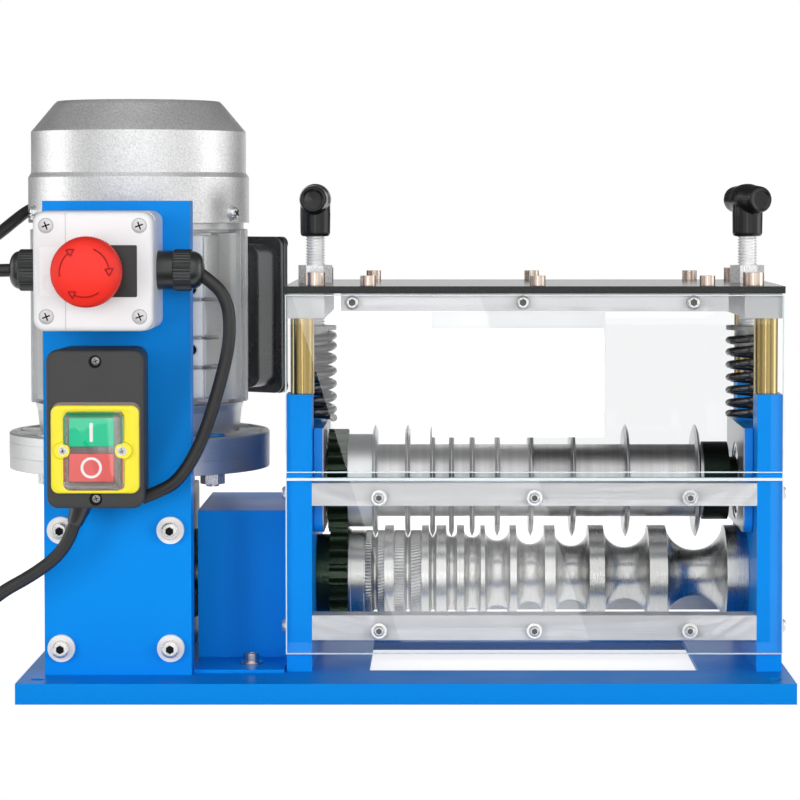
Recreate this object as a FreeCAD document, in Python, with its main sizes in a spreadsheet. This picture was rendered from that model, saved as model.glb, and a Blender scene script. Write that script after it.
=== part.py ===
import FreeCAD, Part
import Sketcher
import math
import os

# Electric wire stripping machine, in millimetres.
# X runs to the right along the rollers, Y away from the operator and Z up.
# The origin is on the floor under the middle of the base.

Vector = FreeCAD.Vector
Rotation = FreeCAD.Rotation

DRIVING = {
    # base pan and its discharge window
    "base_width": 450, "base_depth": 200, "base_height": 12, "base_sheet": 3,
    "base_hole_span_x": 428, "base_hole_span_y": 170, "base_hole_radius": 4,
    "window_width": 195, "window_front": -53, "window_rear": 73,
    # roller frame
    "frame_centre": 75, "frame_half": 146, "upright_thick": 15, "upright_front": -58,
    "upright_rear": 82, "arm_depth": 24, "arm_top": 175.8, "slot_floor": 91.6,
    "roller_axis_y": 12, "lower_axis": 61.5, "gear_centres": 57,
    # bearing blocks that slide in the uprights
    "block_inner": 125, "block_lip": 5.6, "block_lip_half": 50, "block_play": 0.3,
    "block_bottom": 91.7, "block_top": 154.4, "block_corner": 8,
    "bearing_outer": 23.5, "bearing_inner": 10, "bearing_width": 14,
    # top of the frame
    "post_reach": 137, "post_radius": 7, "post_spigot": 4, "post_spigot_length": 8,
    "end_block_width": 22, "end_block_inner": 123.4, "end_block_top": 235.4,
    "end_block_bottom": 220.7, "plate_half": 147, "plate_front": -60, "plate_rear": 84,
    "plate_thick": 4.2,
    # bars and clear guards
    "top_bar_length": 227.6, "top_bar_height": 10.5, "middle_bar_top": 123.7,
    "middle_bar_height": 13.4, "bottom_bar_top": 45.5, "bottom_bar_height": 14.7,
    "bar_depth": 16, "guard_thick": 3, "guard_half": 146.3, "upper_guard_top": 234.6,
    "upper_guard_bottom": 130, "lower_guard_top": 127, "lower_guard_bottom": 22.8,
    "guard_screw_pitch": 91.5, "top_screw_pitch": 100, "top_screw_shift": -7,
    "card_left": 14.9, "card_width": 100.7, "card_bottom": 151.1, "card_height": 63.8,
    "card_thick": 1, "rear_card_left": 13.4, "rear_card_width": 110.8,
    "rear_card_top": 218.9,
    # gears, blades and rollers
    "gear_module": 3, "gear_teeth": 19, "gear_slack": 0.7, "shaft_radius": 10,
    "blade_radius": 34.2, "blade_thick": 3, "blade_bevel": 3, "sleeve_radius": 22.1,
    "roller_radius": 29.35, "knurl_radius": 25.7, "vee_floor": 22.2, "vee_half": 2.3,
    # pressure screws and springs
    "screw_reach": 132, "screw_radius": 5.9, "screw_tip": 201, "nut_across": 18,
    "nut_height": 10.8, "knob_bottom": 267.9, "knob_top": 299.8, "knob_radius": 9.4,
    "knob_bar_length": 32, "knob_bar_end": 7.2,
    "seat_radius": 12.8, "seat_flange": 2.5, "seat_spigot_radius": 7.6, "spring_top": 210.9,
    "spring_radius": 10.9, "spring_wire": 2.4, "spring_dead_pitch": 5.4, "spring_dead_turns": 1,
    "spring_live_turns": 5.25,
    # drive tower
    "tower_centre": -169, "panel_width": 86, "panel_front": -70, "panel_sheet": 3,
    "panel_fold": 18, "panel_top": 289.7, "panel_screw_span_x": 64, "panel_screw_span_z": 69.3,
    "washer_radius": 8, "washer_thick": 3,
    "cover_left": -127, "cover_right": -73.4, "cover_front": -16, "cover_rear": 91,
    "cover_top": 102.8, "cover_sheet": 2, "cover_foot_front": -63,
    "worm_centres": 40, "gearbox_half_width": 39, "gearbox_front": -33, "gearbox_rear": 86,
    "gearbox_top": 112, "wheel_radius": 31.3, "worm_radius": 8.2,
    "input_flange_bottom": 123.8, "input_flange_top": 131.9, "motor_flange_top": 145.4,
    "flange_radius": 81, "motor_shield_top": 164.8, "motor_body_top": 271.9,
    "motor_core_radius": 59, "motor_fin_radius": 67.5, "motor_fin_thick": 2.6, "motor_fins": 22,
    "motor_fin_arc": 210,
    "neck_radius": 65.1, "cowl_bottom": 276, "cowl_step": 305.6, "cowl_shoulder": 332.4,
    "cowl_top": 351.3, "cowl_skirt_radius": 68.6, "cowl_shoulder_radius": 66.7,
    "cowl_top_radius": 52.6, "cowl_wall": 2, "stator_radius": 52, "rotor_radius": 30,
    "motor_shaft_radius": 9, "fan_radius": 52, "fan_blades": 8,
    "terminal_turn": 58, "terminal_floor": 57, "terminal_flange_start": 88,
    "terminal_flange_end": 91, "terminal_lid_end": 97, "terminal_half_width": 42,
    "terminal_half_height": 46, "terminal_flange_half_width": 46,
    "terminal_flange_half_height": 50.5, "terminal_centre_z": 216, "terminal_wall": 2.5,
    # control boxes
    "box_centre": -176, "stop_box_size": 68, "stop_box_bottom": 216, "stop_box_front": -123,
    "stop_lid_depth": 13, "box_wall": 2.5, "stop_box_corner": 6, "mushroom_radius": 20,
    "mushroom_front": -150, "mushroom_rear": -134, "stem_radius": 10.5,
    "switch_width": 54, "switch_bottom": 114.9, "switch_height": 90.3, "switch_front": -115,
    "frame_size": 50, "frame_thick": 3, "frame_bottom": 123.8, "sight_width": 33,
    "sight_height": 44, "button_width": 25, "button_height": 16, "button_start_z": 158.7,
    "button_stop_z": 138.8, "button_face": -119.4, "cover_bulge": -124.5,
    # cords
    "cord_radius": 3.75, "gland_radius": 12.3, "gland_length": 19.4, "gland_length_left": 15.4,
    "gland_nose": 7.6,
    "coil_centre_x": -308, "coil_centre_y": -40, "coil_outer": 48, "coil_step": 8.4,
}

# Stations along the lower roller: raised ribs between the grooves, and how deep each groove is.
RIB_STARTS = [8.2, 17.2, 29.5, 43.9, 61.7, 82.7, 109.7, 146.0, 192.9]
RIB_ENDS = [12.4, 23.1, 33.9, 46.6, 65.7, 89.1, 118.9, 157.0, 205.0]
GROOVE_FLOORS = [22.2, 21.9, 20.0, 17.7, 16.5, 15.7, 14.1]
BLADE_STATIONS = [-20.25, -0.44, 14.7, 26.2, 38.8, 54.1, 74.4, 99.8, 132.5, 175.2]


class Measure:
    """A length that keeps its number and the sheet expression it comes from."""

    def __init__(self, value, text):
        self.value = float(value)
        self.text = text

    def join(self, other, sign, swap=False):
        other = measure(other)
        left, right = (other, self) if swap else (self, other)
        number = {
            "+": left.value + right.value,
            "-": left.value - right.value,
            "*": left.value * right.value,
            "/": left.value / right.value if right.value else 0.0,
        }[sign]
        return Measure(number, "(%s %s %s)" % (left.text, sign, right.text))

    def __add__(self, other):
        return self.join(other, "+")

    def __radd__(self, other):
        return self.join(other, "+", True)

    def __sub__(self, other):
        return self.join(other, "-")

    def __rsub__(self, other):
        return self.join(other, "-", True)

    def __mul__(self, other):
        return self.join(other, "*")

    def __rmul__(self, other):
        return self.join(other, "*", True)

    def __truediv__(self, other):
        return self.join(other, "/")

    def __neg__(self):
        return self.join(-1, "*")


def measure(value):
    return value if isinstance(value, Measure) else Measure(value, "(%.6f)" % value)


# Document and sheet of driving dimensions

doc = FreeCAD.newDocument("wire_stripping_machine")
sheet = doc.addObject("Spreadsheet::Sheet", "Size")


def fill_sheet():
    rows = dict(DRIVING)
    for number, (start, end) in enumerate(zip(RIB_STARTS, RIB_ENDS), start=1):
        rows["rib_start_%d" % number] = start
        rows["rib_end_%d" % number] = end
    for number, floor in enumerate(GROOVE_FLOORS, start=1):
        rows["groove_floor_%d" % number] = floor
    for number, station in enumerate(BLADE_STATIONS, start=1):
        rows["blade_station_%d" % number] = station
    cells = {}
    for row, (name, value) in enumerate(rows.items(), start=1):
        sheet.set("A%d" % row, name)
        sheet.set("B%d" % row, str(value))
        sheet.setAlias("B%d" % row, name)
        cells[name] = Measure(value, "Size.%s" % name)
    doc.recompute()
    return cells


class Cells:
    """Named access to the cells, as in size.base_width."""

    def __init__(self, cells):
        self.__dict__.update(cells)


size = Cells(fill_sheet())
NODES = []


def bind(thing, path, amount):
    thing.setExpression(path, measure(amount).text)


def place(thing, at, rotation=None):
    values = [measure(item) for item in at]
    thing.Placement = FreeCAD.Placement(Vector(*[v.value for v in values]), rotation or Rotation())
    for axis, value in zip("xyz", values):
        bind(thing, "Placement.Base.%s" % axis, value)
    return thing


def node(label, thing):
    thing.Label = label
    NODES.append(thing)
    return thing


# Solids from primitives and booleans

TURN = {
    "X": Rotation(Vector(0, 1, 0), 90),
    "Y": Rotation(Vector(1, 0, 0), -90),
    "Z": Rotation(),
}


def block(name, low, high):
    thing = doc.addObject("Part::Box", name)
    for path, lower, upper in zip(("Length", "Width", "Height"), low, high):
        bind(thing, path, measure(upper) - lower)
    return place(thing, low)


def rod(name, radius, start, length, axis="Z"):
    thing = doc.addObject("Part::Cylinder", name)
    bind(thing, "Radius", radius)
    bind(thing, "Height", length)
    return place(thing, start, TURN[axis])


def taper(name, radius_1, radius_2, start, length, axis="Z", rotation=None):
    thing = doc.addObject("Part::Cone", name)
    bind(thing, "Radius1", radius_1)
    bind(thing, "Radius2", radius_2)
    bind(thing, "Height", length)
    return place(thing, start, rotation or TURN[axis])


def prism(name, across, start, length, axis="Z"):
    thing = doc.addObject("Part::Prism", name)
    thing.Polygon = 6
    bind(thing, "Circumradius", measure(across) / math.sqrt(3))
    bind(thing, "Height", length)
    return place(thing, start, TURN[axis])


def together(name, members):
    thing = doc.addObject("Part::Compound", name)
    thing.Links = members
    return thing


def joined(name, members):
    thing = doc.addObject("Part::MultiFuse", name)
    thing.Shapes = members
    thing.Refine = True
    return thing


def cut(name, base, tools):
    thing = doc.addObject("Part::Cut", name)
    thing.Base = base
    thing.Tool = tools[0] if len(tools) == 1 else together(name + "_tools", tools)
    thing.Refine = True
    return thing


def ring(name, outer, inner, start, length, axis="Z"):
    return cut(name, rod(name + "_disc", outer, start, length, axis),
               [rod(name + "_bore", inner, start, length, axis)])


def softened(name, base, radius, wanted):
    """Round the edges of base for which wanted(edge) is true."""
    doc.recompute()
    thing = doc.addObject("Part::Fillet", name)
    thing.Base = base
    edges = [i for i, edge in enumerate(base.Shape.Edges, start=1) if wanted(edge)]
    thing.Edges = [(i, measure(radius).value, measure(radius).value) for i in edges]
    return thing


def runs_along(axis):
    index = "XYZ".index(axis)

    def wanted(edge):
        if len(edge.Vertexes) != 2 or "Line" not in str(edge.Curve):
            return False
        step = edge.Vertexes[1].Point.sub(edge.Vertexes[0].Point)
        return abs(abs(step[index]) - step.Length) < 1e-6
    return wanted


# Bodies drawn as sketches

PLANES = {"XY": "XY_Plane", "XZ": "XZ_Plane", "YZ": "YZ_Plane"}


def new_sketch(body, name, plane):
    base = [item for item in body.Origin.OriginFeatures if item.Role == PLANES[plane]][0]
    sketch = body.newObject("Sketcher::SketchObject", name)
    sketch.AttachmentSupport = [(base, "")]
    sketch.MapMode = "FlatFace"
    return sketch


def pin_point(sketch, geometry, vertex, point):
    for kind, amount in zip(("DistanceX", "DistanceY"), point):
        index = sketch.addConstraint(
            Sketcher.Constraint(kind, -1, 1, geometry, vertex, measure(amount).value))
        bind(sketch, "Constraints[%d]" % index, amount)


def draw_outline(sketch, points, hollows=None):
    """A closed outline; hollows gives the centre height of the arc that leaves some points."""
    hollows = hollows or {}
    first = sketch.GeometryCount
    flat = [Vector(measure(x).value, measure(y).value, 0) for x, y in points]
    count = len(flat)
    for i, start in enumerate(flat):
        end = flat[(i + 1) % count]
        if i in hollows:
            centre = Vector((start.x + end.x) / 2, measure(hollows[i]).value, 0)
            radius = (start - centre).Length
            middle = Vector(centre.x, centre.y - radius, 0)
            sketch.addGeometry(Part.Arc(start, middle, end), False)
        else:
            sketch.addGeometry(Part.LineSegment(start, end), False)
    for i, point in enumerate(points):
        # an arc is stored anticlockwise, so a hollow drawn left to right keeps its ends in order
        before = first + (i - 1) % count
        sketch.addConstraint(Sketcher.Constraint("Coincident", before, 2, first + i, 1))
        pin_point(sketch, first + i, 1, point)
        if i in hollows:
            index = sketch.addConstraint(Sketcher.Constraint(
                "DistanceY", -1, 1, first + i, 3, measure(hollows[i]).value))
            bind(sketch, "Constraints[%d]" % index, hollows[i])


def draw_circle(sketch, centre, radius):
    amount = measure(radius)
    where = Vector(measure(centre[0]).value, measure(centre[1]).value, 0)
    index = sketch.addGeometry(Part.Circle(where, Vector(0, 0, 1), amount.value), False)
    pin_point(sketch, index, 3, centre)
    rule = sketch.addConstraint(Sketcher.Constraint("Radius", index, amount.value))
    bind(sketch, "Constraints[%d]" % rule, amount)


def rectangle(low, high):
    return [(low[0], low[1]), (high[0], low[1]), (high[0], high[1]), (low[0], high[1])]


def plate(name, plane, outline, thick, at, holes=(), cutouts=()):
    """A flat body: its outline, less any holes and cut-outs, padded by its thickness."""
    body = doc.addObject("PartDesign::Body", name)
    sketch = new_sketch(body, name + "_outline", plane)
    draw_outline(sketch, outline)
    for cutout in cutouts:
        draw_outline(sketch, cutout)
    for centre, radius in holes:
        draw_circle(sketch, centre, radius)
    pad = body.newObject("PartDesign::Pad", name + "_pad")
    pad.Profile = sketch
    bind(pad, "Length", thick)
    return place(body, at)


def turned(name, plane, axis, outline, at, hollows=None):
    """A turned body: its half outline revolved about the sketch's own axis."""
    body = doc.addObject("PartDesign::Body", name)
    sketch = new_sketch(body, name + "_outline", plane)
    draw_outline(sketch, outline, hollows)
    feature = body.newObject("PartDesign::Revolution", name + "_turn")
    feature.Profile = sketch
    feature.ReferenceAxis = (sketch, [axis])
    feature.Angle = 360
    return place(body, at)


def repeated(body, original, axis, count, arc=360):
    pattern = body.newObject("PartDesign::PolarPattern", body.Name + "_pattern")
    pattern.Originals = [original]
    role = {"X": "X_Axis", "Y": "Y_Axis", "Z": "Z_Axis"}[axis]
    pattern.Axis = ([item for item in body.Origin.OriginFeatures if item.Role == role][0], [""])
    pattern.Angle = measure(arc).value
    pattern.Occurrences = int(measure(count).value)
    body.Tip = pattern


# Places worked out from the driving dimensions

upper_axis = size.lower_axis + size.gear_centres
motor_axis_y = size.roller_axis_y + size.worm_centres
plate_bottom = size.end_block_top
plate_top = plate_bottom + size.plate_thick
panel_left = size.tower_centre - size.panel_width / 2
panel_right = size.tower_centre + size.panel_width / 2
bar_front = size.upright_front
SIDES = {"left": -1, "right": 1}


def along_frame(offset):
    return size.frame_centre + offset


def span(side, inner, outer):
    """Low and high X of something between two distances from the frame's middle."""
    ends = [along_frame(inner * side), along_frame(outer * side)]
    return ends if side > 0 else ends[::-1]


# Base

def build_base():
    half_x = size.base_width / 2
    half_y = size.base_depth / 2
    skin = size.base_sheet
    pan = block("base_block", (-half_x, -half_y, 0), (half_x, half_y, size.base_height))
    inside = block("base_hollow", (-half_x + skin, -half_y + skin, 0),
                   (half_x - skin, half_y - skin, size.base_height - skin))
    window_left = size.frame_centre - size.window_width / 2
    window = block("base_window", (window_left, size.window_front, 0),
                   (window_left + size.window_width, size.window_rear, size.base_height))
    tools = [inside, window]
    for x in (-1, 1):
        for y in (-1, 1):
            at = (size.base_hole_span_x / 2 * x, size.base_hole_span_y / 2 * y, 0)
            tools.append(rod("base_corner_hole", size.base_hole_radius, at, size.base_height))
    for x, y in FOOT_SCREWS:
        tools.append(rod("base_foot_hole", 3.3, (x, y, 0), size.base_height))
    tools.append(rod("base_cover_hole", 3.3, (COVER_SCREW[0], COVER_SCREW[1], 0), size.base_height))
    solid = cut("base_cut", pan, [tools[0]])
    solid = cut("base_plate", solid, tools[1:])
    node("base_plate", solid)


upright_middle = size.frame_half - size.upright_thick / 2
FOOT_SCREWS = [(along_frame(upright_middle * side), y) for side in (-1, 1) for y in (-40, 64)]
FOOT_SCREWS += [(size.tower_centre + dx, size.roller_axis_y + dy) for dx in (-26, 26) for dy in (-30, 60)]
COVER_SCREW = (-93, -39.5)


# Roller frame

def build_upright(label, side):
    low, high = span(side, size.frame_half - size.upright_thick, size.frame_half)
    slot_front = size.upright_front + size.arm_depth
    slot_rear = size.upright_rear - size.arm_depth
    outline = [
        (size.upright_front, size.base_height), (size.upright_rear, size.base_height),
        (size.upright_rear, size.arm_top), (slot_rear, size.arm_top),
        (slot_rear, size.slot_floor), (slot_front, size.slot_floor),
        (slot_front, size.arm_top), (size.upright_front, size.arm_top),
    ]
    body = plate(label + "_plate", "YZ", outline, size.upright_thick, (low, 0, 0),
                 holes=[((size.roller_axis_y, size.lower_axis), size.bearing_outer)])
    tools = []
    for y in POST_YS:
        at = (along_frame(size.post_reach * side), y, size.arm_top - size.post_spigot_length)
        tools.append(rod(label + "_post_hole", size.post_spigot, at, size.post_spigot_length))
    for x, y in FOOT_SCREWS[:4]:
        if (x.value > size.frame_centre.value) == (side > 0):
            tools.append(rod(label + "_foot_hole", 2.55, (x, y, size.base_height), 18))
    for centre_z in (MIDDLE_BAR_Z, BOTTOM_BAR_Z):
        for y in (size.upright_front + size.bar_depth / 2, size.upright_rear - size.bar_depth / 2):
            tools.append(rod(label + "_bar_hole", 2.7, (low, y, centre_z), size.upright_thick, "X"))
    node(label, cut(label, body, tools))


POST_YS = (size.upright_front + size.arm_depth / 2, size.upright_rear - size.arm_depth / 2)
MIDDLE_BAR_Z = size.middle_bar_top - size.middle_bar_height / 2
BOTTOM_BAR_Z = size.bottom_bar_top - size.bottom_bar_height / 2
TOP_BAR_Z = size.end_block_top - size.top_bar_height / 2


def build_posts():
    members = []
    for side in (-1, 1):
        for y in POST_YS:
            x = along_frame(size.post_reach * side)
            rise = size.end_block_bottom - size.arm_top
            shank = rod("post_shank", size.post_radius, (x, y, size.arm_top), rise)
            spigot = rod("post_spigot", size.post_spigot - 0.02,
                         (x, y, size.arm_top - size.post_spigot_length),
                         rise + size.post_spigot_length * 2)
            members.append(joined("guide_post", [shank, spigot]))
    node("guide_posts", together("guide_posts", members))


def build_end_blocks():
    members = []
    for side in (-1, 1):
        low, high = span(side, size.end_block_inner, size.end_block_inner + size.end_block_width)
        solid = block("end_block_bar", (low, size.upright_front, size.end_block_bottom),
                      (high, size.upright_rear, size.end_block_top))
        thick = size.end_block_top - size.end_block_bottom
        tools = [rod("end_block_screw_hole", size.screw_radius + 0.4,
                     (along_frame(size.screw_reach * side), size.roller_axis_y, size.end_block_bottom),
                     thick)]
        for y in POST_YS:
            tools.append(rod("end_block_post_hole", size.post_spigot,
                             (along_frame(size.post_reach * side), y, size.end_block_bottom),
                             size.post_spigot_length))
        for x, y in corner_screws(side):
            tools.append(rod("end_block_tap", 2.55, (x, y, size.end_block_top - 12), 12))
        members.append(cut("end_block", solid, tools))
    node("end_blocks", together("end_blocks", members))


def corner_screws(side):
    return [(along_frame(measure(129.6 * side)), y + 1) for y in POST_YS]


def bar_screws():
    shift = 2
    places = []
    for y in (size.upright_front + size.bar_depth / 2, size.upright_rear - size.bar_depth / 2):
        for step in (-1, 0, 1):
            places.append((along_frame(size.top_screw_pitch * step + shift), y))
    return places


def build_top_plate():
    outline = rectangle((along_frame(-size.plate_half), size.plate_front),
                        (along_frame(size.plate_half), size.plate_rear))
    holes = []
    for side in (-1, 1):
        holes.append(((along_frame(size.screw_reach * side), size.roller_axis_y),
                      size.screw_radius + 0.4))
        holes += [((x, y), 3.3) for x, y in corner_screws(side)]
    holes += [((x, y), 3.3) for x, y in bar_screws()]
    node("top_plate", plate("top_plate", "XY", outline, size.plate_thick, (0, 0, plate_bottom), holes))


def build_bars():
    inner = size.frame_half - size.upright_thick
    tap = 1.6
    members = []
    kinds = [
        ("top_bar", size.top_bar_length / 2, size.end_block_top, size.top_bar_height),
        ("middle_bar", inner, size.middle_bar_top, size.middle_bar_height),
        ("bottom_bar", inner, size.bottom_bar_top, size.bottom_bar_height),
    ]
    for name, half, top, height in kinds:
        for rear in (False, True):
            front = size.upright_rear - size.bar_depth if rear else bar_front
            solid = block(name + "_blank", (along_frame(-half), front, top - height),
                          (along_frame(half), front + size.bar_depth, top))
            face = front if not rear else front + size.bar_depth - 9
            tools = [rod(name + "_tap", tap, (x, face, z), 9, "Y")
                     for x, z in guard_screw_places(name) if not (rear and name != "top_bar")]
            if name == "top_bar":
                tools += [rod("top_bar_tap", 2.55, (x, y, top - 8), 8)
                          for x, y in bar_screws() if (y.value > 0) == rear]
            else:
                tools += [rod(name + "_end_tap", 2.1, (x, front + size.bar_depth / 2, top - height / 2),
                              12, "X")
                          for x in (along_frame(-half), along_frame(half) - 12)]
            members.append(cut(name, solid, tools))
    node("guard_bars", together("guard_bars", members))


def guard_screw_places(bar):
    pitch = size.top_screw_pitch if bar == "top_bar" else size.guard_screw_pitch
    shift = size.top_screw_shift if bar == "top_bar" else 0
    height = {"top_bar": TOP_BAR_Z, "middle_bar": MIDDLE_BAR_Z - 1.7, "bottom_bar": BOTTOM_BAR_Z - 1.5}
    return [(along_frame(pitch * step + shift), height[bar]) for step in (-1, 0, 1)]


def guard(label, bottom, top, front, bars):
    outline = rectangle((along_frame(-size.guard_half), bottom), (along_frame(size.guard_half), top))
    holes = [((x, z), 1.8) for bar in bars for x, z in guard_screw_places(bar)]
    node(label, plate(label, "XZ", outline, size.guard_thick, (0, front + size.guard_thick, 0), holes))


def build_guards():
    front = bar_front - size.guard_thick
    guard("front_upper_guard", size.upper_guard_bottom, size.upper_guard_top, front, ["top_bar"])
    guard("front_lower_guard", size.lower_guard_bottom, size.lower_guard_top, front,
          ["middle_bar", "bottom_bar"])
    guard("rear_upper_guard", size.upper_guard_bottom, size.upper_guard_top, size.upright_rear,
          ["top_bar"])


def build_cards():
    front = bar_front - size.guard_thick - size.card_thick
    rear = size.upright_rear - size.card_thick - 0.1
    cards = [
        block("front_card", (size.card_left, front, size.card_bottom),
              (size.card_left + size.card_width, front + size.card_thick,
               size.card_bottom + size.card_height)),
        block("rear_card", (size.rear_card_left, rear, size.rear_card_top - size.card_height),
              (size.rear_card_left + size.rear_card_width, rear + size.card_thick,
               size.rear_card_top)),
    ]
    node("sign_cards", together("sign_cards", cards))


# Fasteners

def cap_screw(at, radius, height, shank_radius, shank_length):
    """A socket cap screw that stands head up, its head's underside at the given point."""
    x, y, z = at
    head = rod("cap_head", radius, at, height)
    shank = rod("cap_shank", shank_radius, (x, y, z - shank_length), shank_length + height / 2)
    socket = prism("cap_socket", radius * 0.9, (x, y, z + height * 0.45), height * 0.6)
    return cut("cap_screw", joined("cap_blank", [head, shank]), [socket])


def face_screw(name, at, radius, height, shank_radius, shank_length, out=-1):
    """A screw along Y whose head stands out of a face at the given point."""
    x, y, z = at
    y = measure(y)
    head_start = y - height if out < 0 else y
    shank_start = y - height / 2 if out < 0 else y - shank_length
    head = rod(name + "_head", radius, (x, head_start, z), height, "Y")
    shank = rod(name + "_shank", shank_radius, (x, shank_start, z), shank_length + height / 2, "Y")
    recess_start = head_start - 0.01 if out < 0 else head_start + height * 0.5
    recess = prism(name + "_recess", radius * 0.8, (x, recess_start, z), height * 0.5, "Y")
    return cut(name, joined(name + "_blank", [head, shank]), [recess])


def washer_at(at, radius, hole, thick):
    return ring("washer", radius, hole, at, thick, "Y")


def build_cap_screws():
    members = []
    head = measure(6.2)
    for side in (-1, 1):
        for x, y in corner_screws(side):
            members.append(cap_screw((x, y, plate_top), head, 7.8, 2.5, size.plate_thick + 11.5))
    for x, y in bar_screws():
        members.append(cap_screw((x, y, plate_top), 4.6, 6, 2.5, size.plate_thick + 7.5))
    foot_top = size.base_height + size.cover_sheet
    members.append(cap_screw((COVER_SCREW[0], COVER_SCREW[1], foot_top + 1.2), 4.6, 5, 2.9, 10))
    members.append(ring("cover_washer", 7, 3.1, (COVER_SCREW[0], COVER_SCREW[1], foot_top), 1.2))
    for x, y in FOOT_SCREWS:
        under = size.base_height - size.base_sheet
        shank_radius = 2.5
        shank = rod("foot_shank", shank_radius, (x, y, under - 2), size.base_sheet + 15)
        cap = rod("foot_head", 5, (x, y, under - 5), 5)
        members.append(joined("foot_screw", [shank, cap]))
    for x, z in panel_screw_places():
        front = size.panel_front - size.washer_thick
        members.append(face_screw("panel_screw", (x, front, z), 5, 4.5, 2.9,
                                  size.gearbox_front - front + 9))
    node("cap_screws", together("cap_screws", members))


def build_pan_screws():
    members = []
    front = bar_front - size.guard_thick
    rear = size.upright_rear + size.guard_thick
    for bar in ("top_bar", "middle_bar", "bottom_bar"):
        for x, z in guard_screw_places(bar):
            members.append(face_screw("guard_screw", (x, front - 0.8, z), 4.1, 2.4, 1.5, 11))
            members.append(washer_at((x, front - 0.8, z), 5, 1.6, 0.8))
    for x, z in guard_screw_places("top_bar"):
        members.append(face_screw("rear_guard_screw", (x, rear + 0.8, z), 4.1, 2.4, 1.5, 11, 1))
        members.append(washer_at((x, rear, z), 5, 1.6, 0.8))
    for x, z in stop_box_screws():
        members.append(face_screw("lid_screw", (x, size.stop_box_front + 0.6, z), 3.9, 2, 1.4, 15))
    for x, z in switch_box_screws():
        members.append(face_screw("switch_screw", (x, size.switch_front + 0.2, z), 3.4, 1.8, 1.4, 9))
    for x, z in key_screws():
        members.append(face_screw("key_screw", (x, size.switch_front, z), 1.9, 1.3, 1.1, 6))
    for side in (-1, 1):
        outer = along_frame(size.frame_half * side)
        for z in (MIDDLE_BAR_Z, BOTTOM_BAR_Z):
            for y in (size.upright_front + size.bar_depth / 2,
                      size.upright_rear - size.bar_depth / 2):
                reach = size.upright_thick + 10
                start = outer - reach if side > 0 else outer
                shank = rod("bar_screw_shank", 2, (start, y, z), reach, "X")
                head = rod("bar_screw_head", 4.3, (outer if side > 0 else outer - 3, y, z), 3, "X")
                members.append(joined("bar_screw", [shank, head]))
    node("pan_head_screws", together("pan_head_screws", members))


def stop_box_screws():
    middle = size.stop_box_bottom + size.stop_box_size / 2
    return [(size.box_centre + x, middle + z) for x in (-26.3, 26.3) for z in (-25.7, 25.7)]


def key_screws():
    return [(size.box_centre - 1.6 + x, 148.7) for x in (-14.5, 14.5)]


def switch_box_screws():
    return [(size.box_centre, z) for z in (120.2, 198.5)]


def build_hex_fasteners():
    members = []
    for side in (-1, 1):
        at = (along_frame(size.screw_reach * side), size.roller_axis_y, plate_top)
        blank = prism("lock_nut_blank", size.nut_across, at, size.nut_height)
        members.append(cut("lock_nut", blank, [rod("lock_nut_bore", size.screw_radius + 0.1, at,
                                                   size.nut_height)]))
    for angle in (45, 135, 225, 315):
        reach = size.flange_radius - 11
        x = size.tower_centre + reach * math.cos(math.radians(angle))
        y = motor_axis_y + reach * math.sin(math.radians(angle))
        top = size.motor_flange_top - 3
        head = prism("flange_bolt_head", 13, (x, y, top), 5.3)
        shank = rod("flange_bolt_shank", 3.9, (x, y, size.input_flange_bottom - 8),
                    top - size.input_flange_bottom + 10)
        nut = prism("flange_nut", 13, (x, y, size.input_flange_bottom - 6.5), 6.5)
        members.append(joined("flange_bolt", [head, shank, nut]))
    node("hex_fasteners", together("hex_fasteners", members))


# Bearing blocks, bearings and springs

def build_blocks():
    members = []
    for side in (-1, 1):
        inner = size.block_inner
        lip = inner + size.block_lip
        lip_low, lip_high = span(side, inner, lip)
        body_low, body_high = span(side, lip, size.frame_half)
        half = (size.upright_rear - size.upright_front) / 2 - size.arm_depth - size.block_play
        y = size.roller_axis_y
        lip_part = block("block_lip", (lip_low, y - size.block_lip_half, size.block_bottom),
                         (lip_high, y + size.block_lip_half, size.block_top))
        core = block("block_core", (body_low, y - half, size.block_bottom),
                     (body_high, y + half, size.block_top))
        rounded_lip = softened("block_lip_round", lip_part, size.block_corner, low_edges)
        rounded_core = softened("block_core_round", core, size.block_corner, low_edges)
        blank = joined("bearing_block_blank", [rounded_lip, rounded_core])
        pocket = size.bearing_width + 0.5
        bore_low, bore_high = span(side, inner, inner + pocket)
        through_low, through_high = span(side, inner, size.frame_half)
        tools = [rod("block_bearing_seat", size.bearing_outer, (bore_low, y, upper_axis), pocket, "X"),
                 rod("block_shaft_hole", 13, (through_low, y, upper_axis),
                     size.frame_half - inner, "X")]
        members.append(cut("bearing_block", blank, [joined("block_bores", tools)]))
    node("bearing_blocks", together("bearing_blocks", members))


def low_edges(edge):
    return runs_along("X")(edge) and edge.BoundBox.ZMax < size.block_bottom.value + 0.01


def bearing(name, low, y, z):
    """A sealed ball bearing drawn as its two races and the shield between them."""
    width = size.bearing_width
    outer = ring(name + "_outer", size.bearing_outer - 0.01, size.bearing_outer - 3.2, (low, y, z),
                 width, "X")
    inner = ring(name + "_inner", size.bearing_inner + 3.2, size.bearing_inner, (low, y, z), width, "X")
    shield = ring(name + "_shield", size.bearing_outer - 3.2, size.bearing_inner + 3.2,
                  (low + 0.8, y, z), width - 1.6, "X")
    return joined(name, [outer, inner, shield])


def build_bearings():
    upper, lower = [], []
    for side in (-1, 1):
        low = span(side, size.block_inner + 0.5, size.block_inner + 0.5 + size.bearing_width)[0]
        upper.append(bearing("upper_bearing", low, size.roller_axis_y, upper_axis))
        inner = size.frame_half - size.upright_thick + 0.5
        low = span(side, inner, inner + size.bearing_width)[0]
        lower.append(bearing("lower_bearing", low, size.roller_axis_y, size.lower_axis))
    node("upper_bearings", together("upper_bearings", upper))
    node("lower_bearings", together("lower_bearings", lower))


# Curves made of tangent arcs

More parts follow.
